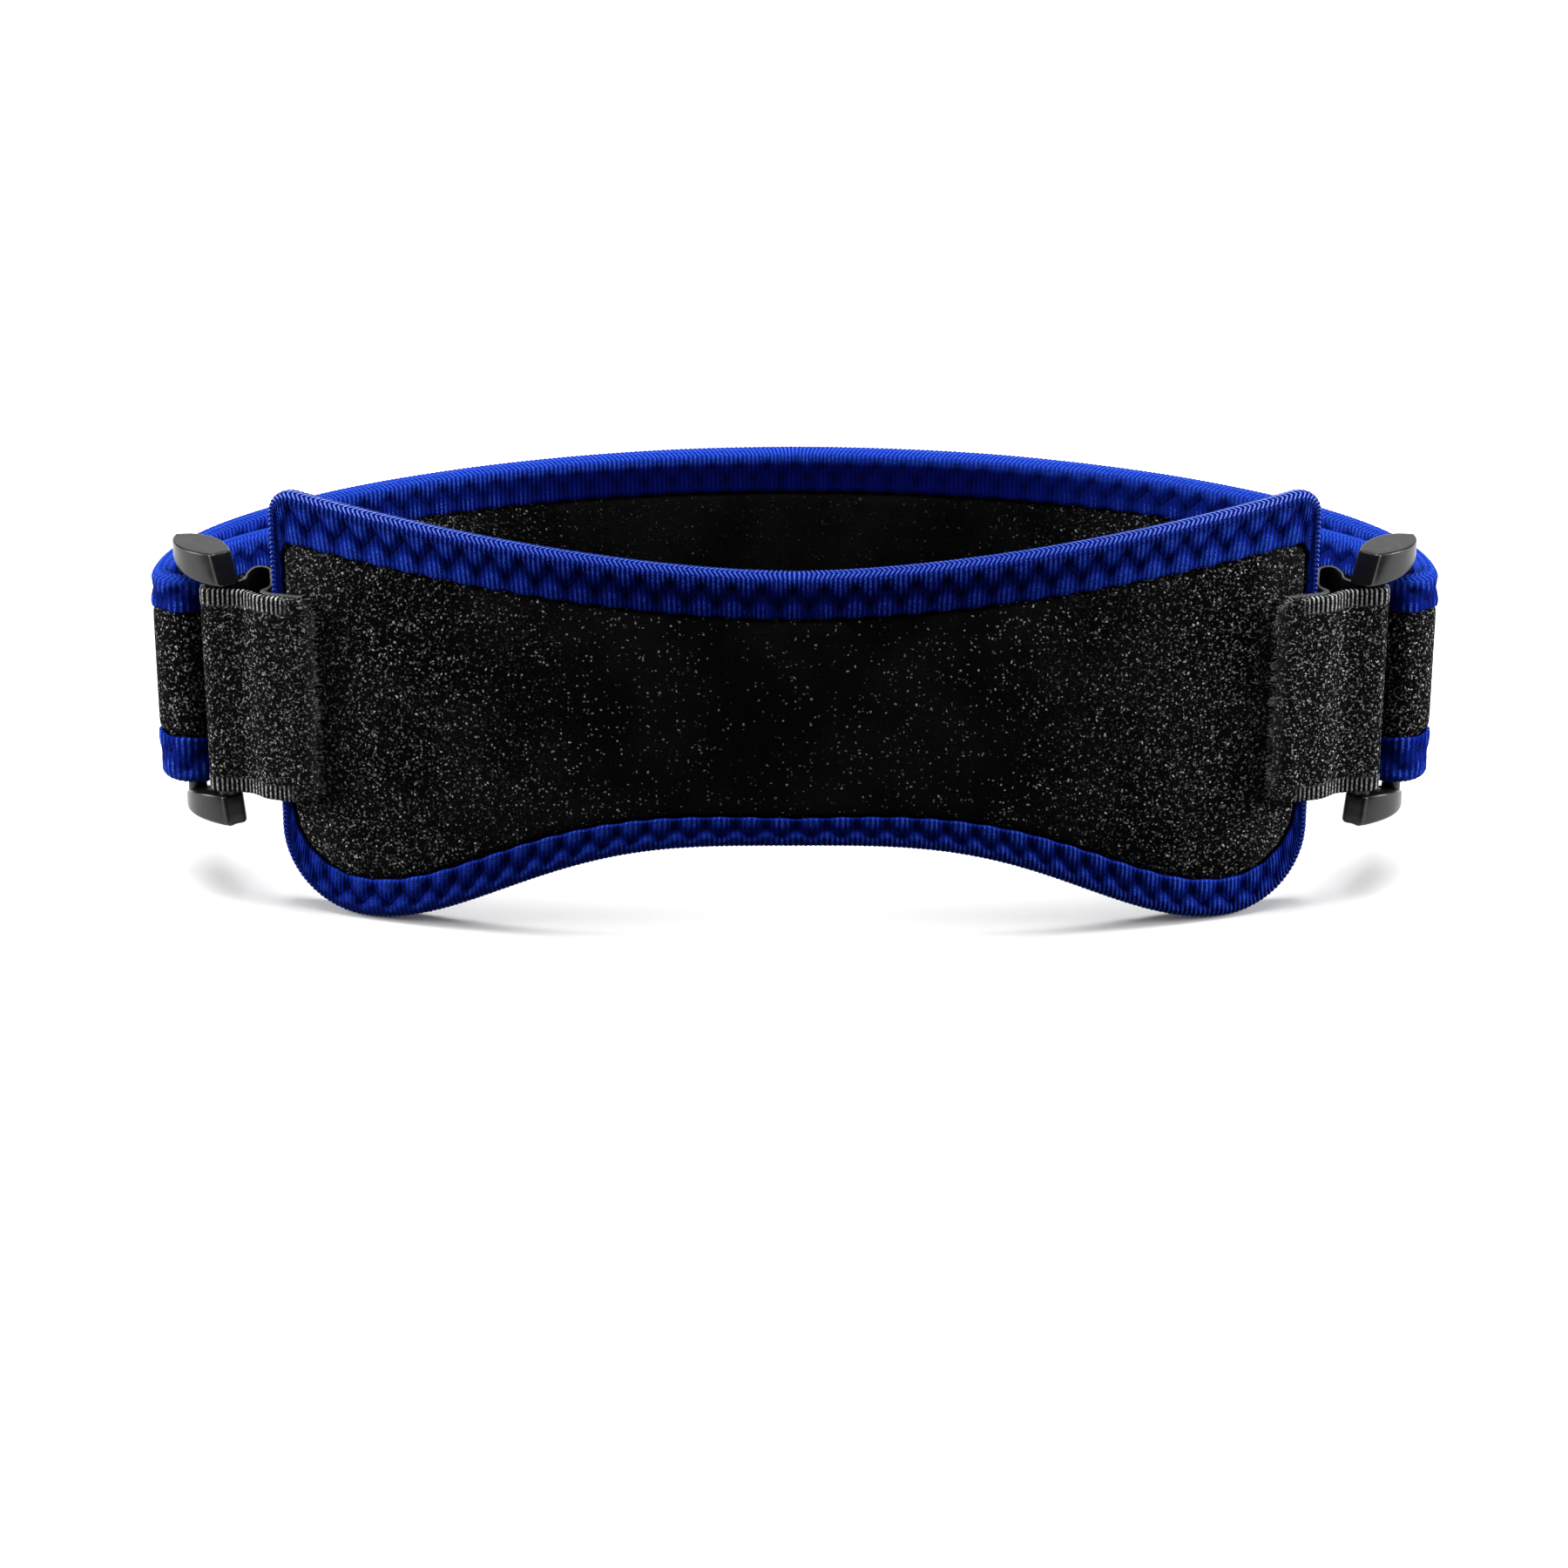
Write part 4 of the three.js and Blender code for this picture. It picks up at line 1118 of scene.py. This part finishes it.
def loop_fabric(name, nap, flattening, ruffle_and_fill_light):
    """Black brushed loop cloth of a pad, its loops shown as painted glints on a dark ground. Its nap stands
    thickest towards the ends, where the painted glints are also brightest. Flattening is how far it is worn
    down in the middle. The last argument is how far the nap ruffles beside the straps, with a paler ground
    and denser glints painted from there outwards: partly nap that ruffles there, partly painted light that
    lifts the shadow of the strap's end."""
    material, tree, surface = new_material(name)
    place = place_on_object(tree)
    side = apart(tree, parts_of(tree, place)["X"])
    patch = noise(tree, place, 55.0, 3.0, 0.6)
    thick = step(tree, side, 0.0, 0.1)
    # From just inside the strap's end outwards: a paler ground and denser glints, partly nap that ruffles
    # there and partly painted light that lifts the shadow the strap's end casts.
    ruffled_and_lit = step(tree, side, 0.079, 0.083, 0.0, ruffle_and_fill_light)
    density = sums(tree, "ADD", scaled(tree, thick, 0.48, 0.22), scaled(tree, patch, 0.5, -0.25))
    density = scaled(tree, ruffled_and_lit, 0.25, density)
    curl = step(tree, side, 0.03, 0.088, 0.0, 0.5)
    loops = placed(tree, nap, Vector=place, Scale=1450.0, Density=density, Curl=curl)
    ground = blend(tree, step(tree, patch, 0.35, 0.65), (0.0015, 0.0015, 0.0018), (0.0055, 0.0055, 0.006))
    ground = blend(tree, ruffled_and_lit, ground, (0.01, 0.01, 0.0105))
    # Painted glints: the bright loops are highlights painted into the colour, brighter towards the ends.
    shine = times(tree, loops["Glint"], scaled(tree, thick, 0.6, 0.4))
    shine = times(tree, shine, step(tree, side, 0.03, 0.075, 1.0 - flattening, 1.0))
    rough = step(tree, loops["Glint"], 0.0, 1.0, 0.95, 0.55)
    dress(tree, surface, blend(tree, shine, ground, (0.9, 0.9, 0.91)), rough, 0.02)
    bump(tree, surface, loops["Height"], 0.00035)
    return material


def binding_tape(name, ribs, fold_light, calm, dash_middle, dash_end, fold_colour, lip_colour):
    """Blue elastic tape: dashed ribs over its fold and ribs on its lips, with painted highlights on the
    dashes and the rib backs, and painted shade in the furrows and holes of its seam. Dashes and lips change
    colour towards the ends of the pad, and the lips also along its bottom
    edge, as painted light: lighter there and darker in the middle. In the middle of an upper edge the lip is
    an even navy of painted shade. Fold_light is how far the rib backs are painted lit over the fold, and calm
    the share of their painted highlight that is left on that even lip."""
    material, tree, surface = new_material(name)
    cloth, relief = cloth_and_relief(tree)
    axes = parts_of(tree, place_on_object(tree))
    side = apart(tree, axes["X"])
    # Painted light: the lips are painted lighter towards the ends of the pad and along its bottom edge, and
    # darker in the middle.
    lit_low_edge = step(tree, axes["Z"], 0.045, 0.03, 0.0, 0.6)
    painted_light_share = sums(tree, "MAXIMUM", step(tree, side, 0.025, 0.085), lit_low_edge)
    knit = placed(tree, ribs, Vector=cloth, Lean=step(tree, axes["X"], -0.01, 0.01, 1.0, -1.0))
    lip = step(tree, apart(tree, parts_of(tree, cloth)["Y"]), 0.36, 0.52)
    # Painted highlight on the upstanding backs of the ribs, and painted shade in the hollows of the seam's
    # furrow and holes.
    lit_crests = step(tree, relief, -0.02, 0.2)
    shaded_hollows = times(tree, step(tree, relief, 0.06, -0.16), lip)
    proud = scaled(tree, lit_crests, lip, step(tree, lip, 0.0, 1.0, fold_light, 0.1))
    shade = times(tree, knit["Shade"], proud, clamp=True)
    # Painted shade: in the middle of an upper edge most of the lips' painted highlight is taken away.
    shaded_middle = times(tree, lip, step(tree, painted_light_share, 1.0, 0.0, 0.0, 1.0 - calm))
    shade = times(tree, shade, sums(tree, "SUBTRACT", 1.0, shaded_middle))
    # Lip and furrow colours run from painted shade in the middle to lighter towards the ends. The furrow
    # colour is painted shade, and the rib backs get a painted highlight colour.
    even = blend(tree, painted_light_share, (0.0003, 0.0026, 0.095), lip_colour)
    furrow = blend(tree, painted_light_share, (0.0002, 0.0012, 0.04), (0.0012, 0.008, 0.15))
    body = blend(tree, shaded_hollows, blend(tree, lip, fold_colour, even), furrow)
    lit = blend(tree, shade, body, (0.045, 0.125, 0.62))
    # Painted highlight on the dashed stitches, its colour changing towards the ends of the pad.
    dash = blend(tree, step(tree, side, 0.035, 0.092), dash_middle, dash_end)
    rough = step(tree, shade, 0.0, 1.0, 0.8, 0.5)
    dress(tree, surface, blend(tree, knit["Dash"], lit, dash), rough, 0.03)
    bump(tree, surface, knit["Height"], 0.00012)
    return material


def seam_thread():
    """Matt polyester thread in the tape's darkest blue."""
    material, tree, surface = new_material("seam_thread")
    ply = noise(tree, place_on_object(tree), 2600.0, 1.0)
    colour = blend(tree, ply, (0.0002, 0.0012, 0.04), (0.001, 0.006, 0.13))
    dress(tree, surface, colour, step(tree, ply, 0.0, 1.0, 0.75, 0.9), 0.03)
    bump(tree, surface, ply, 0.0001)
    return material


def strap_webbing(nap, length, slack):
    """Grey-black webbing: a brushed field with painted glints of its loops, ribbed selvedges with painted
    highlights on their crests, a near-black slack part with a grey cut edge, and a paler, frayed free end.
    The cloth is measured in centimetres."""
    material, tree, surface = new_material("strap_webbing")
    cloth, relief = cloth_and_relief(tree)
    parts = parts_of(tree, cloth)
    end, arch_end, half_width = length / 10, slack / 10, WEBBING_WIDTH / 20
    density = step(tree, parts["X"], end - 0.35, end - 0.05, 0.72, 1.0)
    loops = placed(tree, nap, Vector=place_on_object(tree), Scale=1550.0, Density=density, Curl=0.85)
    middle = apart(tree, parts["Y"], half_width)
    inner = WEBBING_WIDTH / 2 - SELVEDGE_WIDTH
    edge = step(tree, middle, inner / 10, (inner + 0.8) / 10)
    edge = times(tree, edge, step(tree, parts["X"], end - 0.3, end - 0.6))
    # Painted highlight on the selvedges' rib crests, brighter in random patches.
    highlight_patches = step(tree, noise(tree, cloth, 22.0, 2.0), 0.32, 0.62, 0.15, 1.0)
    lit_crests = times(tree, step(tree, relief, -0.06, 0.06), highlight_patches)
    pale = step(tree, parts["X"], end - 0.3, end - 0.05, 0.0, 0.6)
    ground = blend(tree, pale, (0.003, 0.003, 0.0034), (0.04, 0.04, 0.042))
    # The field's bright loops are painted glints.
    field = blend(tree, loops["Glint"], ground, (0.8, 0.8, 0.81))
    ribbed = blend(tree, lit_crests, (0.004, 0.004, 0.0045), (0.75, 0.75, 0.76))
    # Near black over the slack arch, with a grey rim along its edges.
    worn = step(tree, parts["X"], arch_end + 0.1, arch_end - 0.15)
    rim = step(tree, middle, half_width - 0.035, half_width - 0.02)
    black = blend(tree, rim, (0.0015, 0.0015, 0.0017), (0.1, 0.1, 0.102))
    colour = blend(tree, worn, blend(tree, edge, field, ribbed), black)
    dress(tree, surface, colour, step(tree, loops["Glint"], 0.0, 1.0, 0.95, 0.6), 0.05)
    bump(tree, surface, loops["Height"], 0.0003)
    return material


def frayed_fibre():
    """Pale grey fibres of the frayed strap ends."""
    material, tree, surface = new_material("frayed_fibre")
    shade = noise(tree, place_on_object(tree), 900.0, 1.0)
    colour = blend(tree, step(tree, shade, 0.35, 0.65), (0.02, 0.02, 0.021), (0.6, 0.6, 0.61))
    dress(tree, surface, colour, step(tree, shade, 0.3, 0.7, 0.8, 0.55), 0.2)
    return material


def buckle_plastic():
    """Dark grey moulded plastic with a fine spark-eroded grain and a faintly cloudy gloss."""
    material, tree, surface = new_material("buckle_plastic")
    place = place_on_object(tree)
    cloud = noise(tree, place, 160.0, 3.0, 0.6)
    colour = blend(tree, cloud, (0.0035, 0.0036, 0.004), (0.006, 0.0061, 0.0066))
    dress(tree, surface, colour, step(tree, cloud, 0.3, 0.7, 0.24, 0.34), 0.33)
    bump(tree, surface, noise(tree, place, 3000.0, 2.0), 0.00002, 0.5)
    return material


def pale_floor():
    material, tree, surface = new_material("pale_floor")
    shade = noise(tree, place_on_object(tree), 3.0, 2.0)
    colour = blend(tree, shade, (0.86, 0.86, 0.86), (0.88, 0.88, 0.88))
    tree.links.new(colour, surface.inputs["Base Color"])
    surface.inputs["Roughness"].default_value = 0.9
    return material


def make_floor():
    mesh = bpy.data.meshes.new("floor")
    mesh.from_pydata([(-3, -3, -5e-5), (3, -3, -5e-5), (3, 3, -5e-5), (-3, 3, -5e-5)], [], [(0, 1, 2, 3)])
    mesh.materials.append(pale_floor())
    floor = bpy.data.objects.new("floor", mesh)
    floor.visible_diffuse = False
    bpy.context.scene.collection.objects.link(floor)


def make_object(left_light, right_light):
    nap, ribs = loop_nap_group(), rib_group()
    front_cloth = loop_fabric("front_loop_fabric", nap, flattening=0.0, ruffle_and_fill_light=1.0)
    rear_cloth = loop_fabric("rear_loop_fabric", nap, flattening=0.85, ruffle_and_fill_light=0.0)
    thread = seam_thread()
    # One blue tape in lit and shaded copies: the rear fold is painted lighter and the rear lip darker than
    # the front's, as painted light and shade.
    front_blue = binding_tape(
        "front_binding_tape", ribs, fold_light=0.55, calm=0.3, dash_middle=(0.06, 0.13, 0.5),
        dash_end=(0.22, 0.33, 0.78), fold_colour=(0.0004, 0.0035, 0.11), lip_colour=(0.006, 0.025, 0.36))
    rear_blue = binding_tape(
        "rear_binding_tape", ribs, fold_light=0.8, calm=0.08, dash_middle=(0.03, 0.1, 0.5),
        dash_end=(0.02, 0.08, 0.42), fold_colour=(0.003, 0.018, 0.27), lip_colour=(0.0006, 0.008, 0.19))
    plan = strap_path()
    strap_cloth = strap_webbing(nap, path_lengths(plan)[-1], slack_end(plan))
    fibre, plastic = frayed_fibre(), buckle_plastic()
    make_piece("front_pad_fabric", front_fabric(), front_cloth, ["front_pad"])
    make_piece("rear_pad_fabric", rear_fabric(), rear_cloth, ["rear_pad"])
    make_piece("front_tape", front_tape(), front_blue, ["front_binding"])
    make_piece("rear_tape_upper", rear_tape(1), rear_blue, ["rear_binding_upper"])
    make_piece("rear_tape_lower", rear_tape(-1), rear_blue, ["rear_binding_lower"])
    make_piece("front_seam", front_seam(), thread)
    make_piece("rear_seam", rear_seam(), thread)
    left = webbing(plan)
    make_piece("webbing_left", left, strap_cloth, ["strap_left"])
    make_piece("webbing_right", mirrored(left), strap_cloth, ["strap_right"])
    make_piece("fray_left", end_fibres(plan, 3), fibre)
    make_piece("fray_right", mirrored(end_fibres(plan, 4)), fibre)
    ring = buckle()
    left = make_piece("ring_buckle_left", ring, plastic, ["buckle_left"])
    right = make_piece("ring_buckle_right", mirrored(ring), plastic, ["buckle_right"])
    keep_light_off(right_light, left)
    keep_light_off(left_light, right)


make_camera()
side_lights = make_lights()
make_floor()
make_object(*side_lights)
bpy.context.scene.view_settings.view_transform = "Standard"
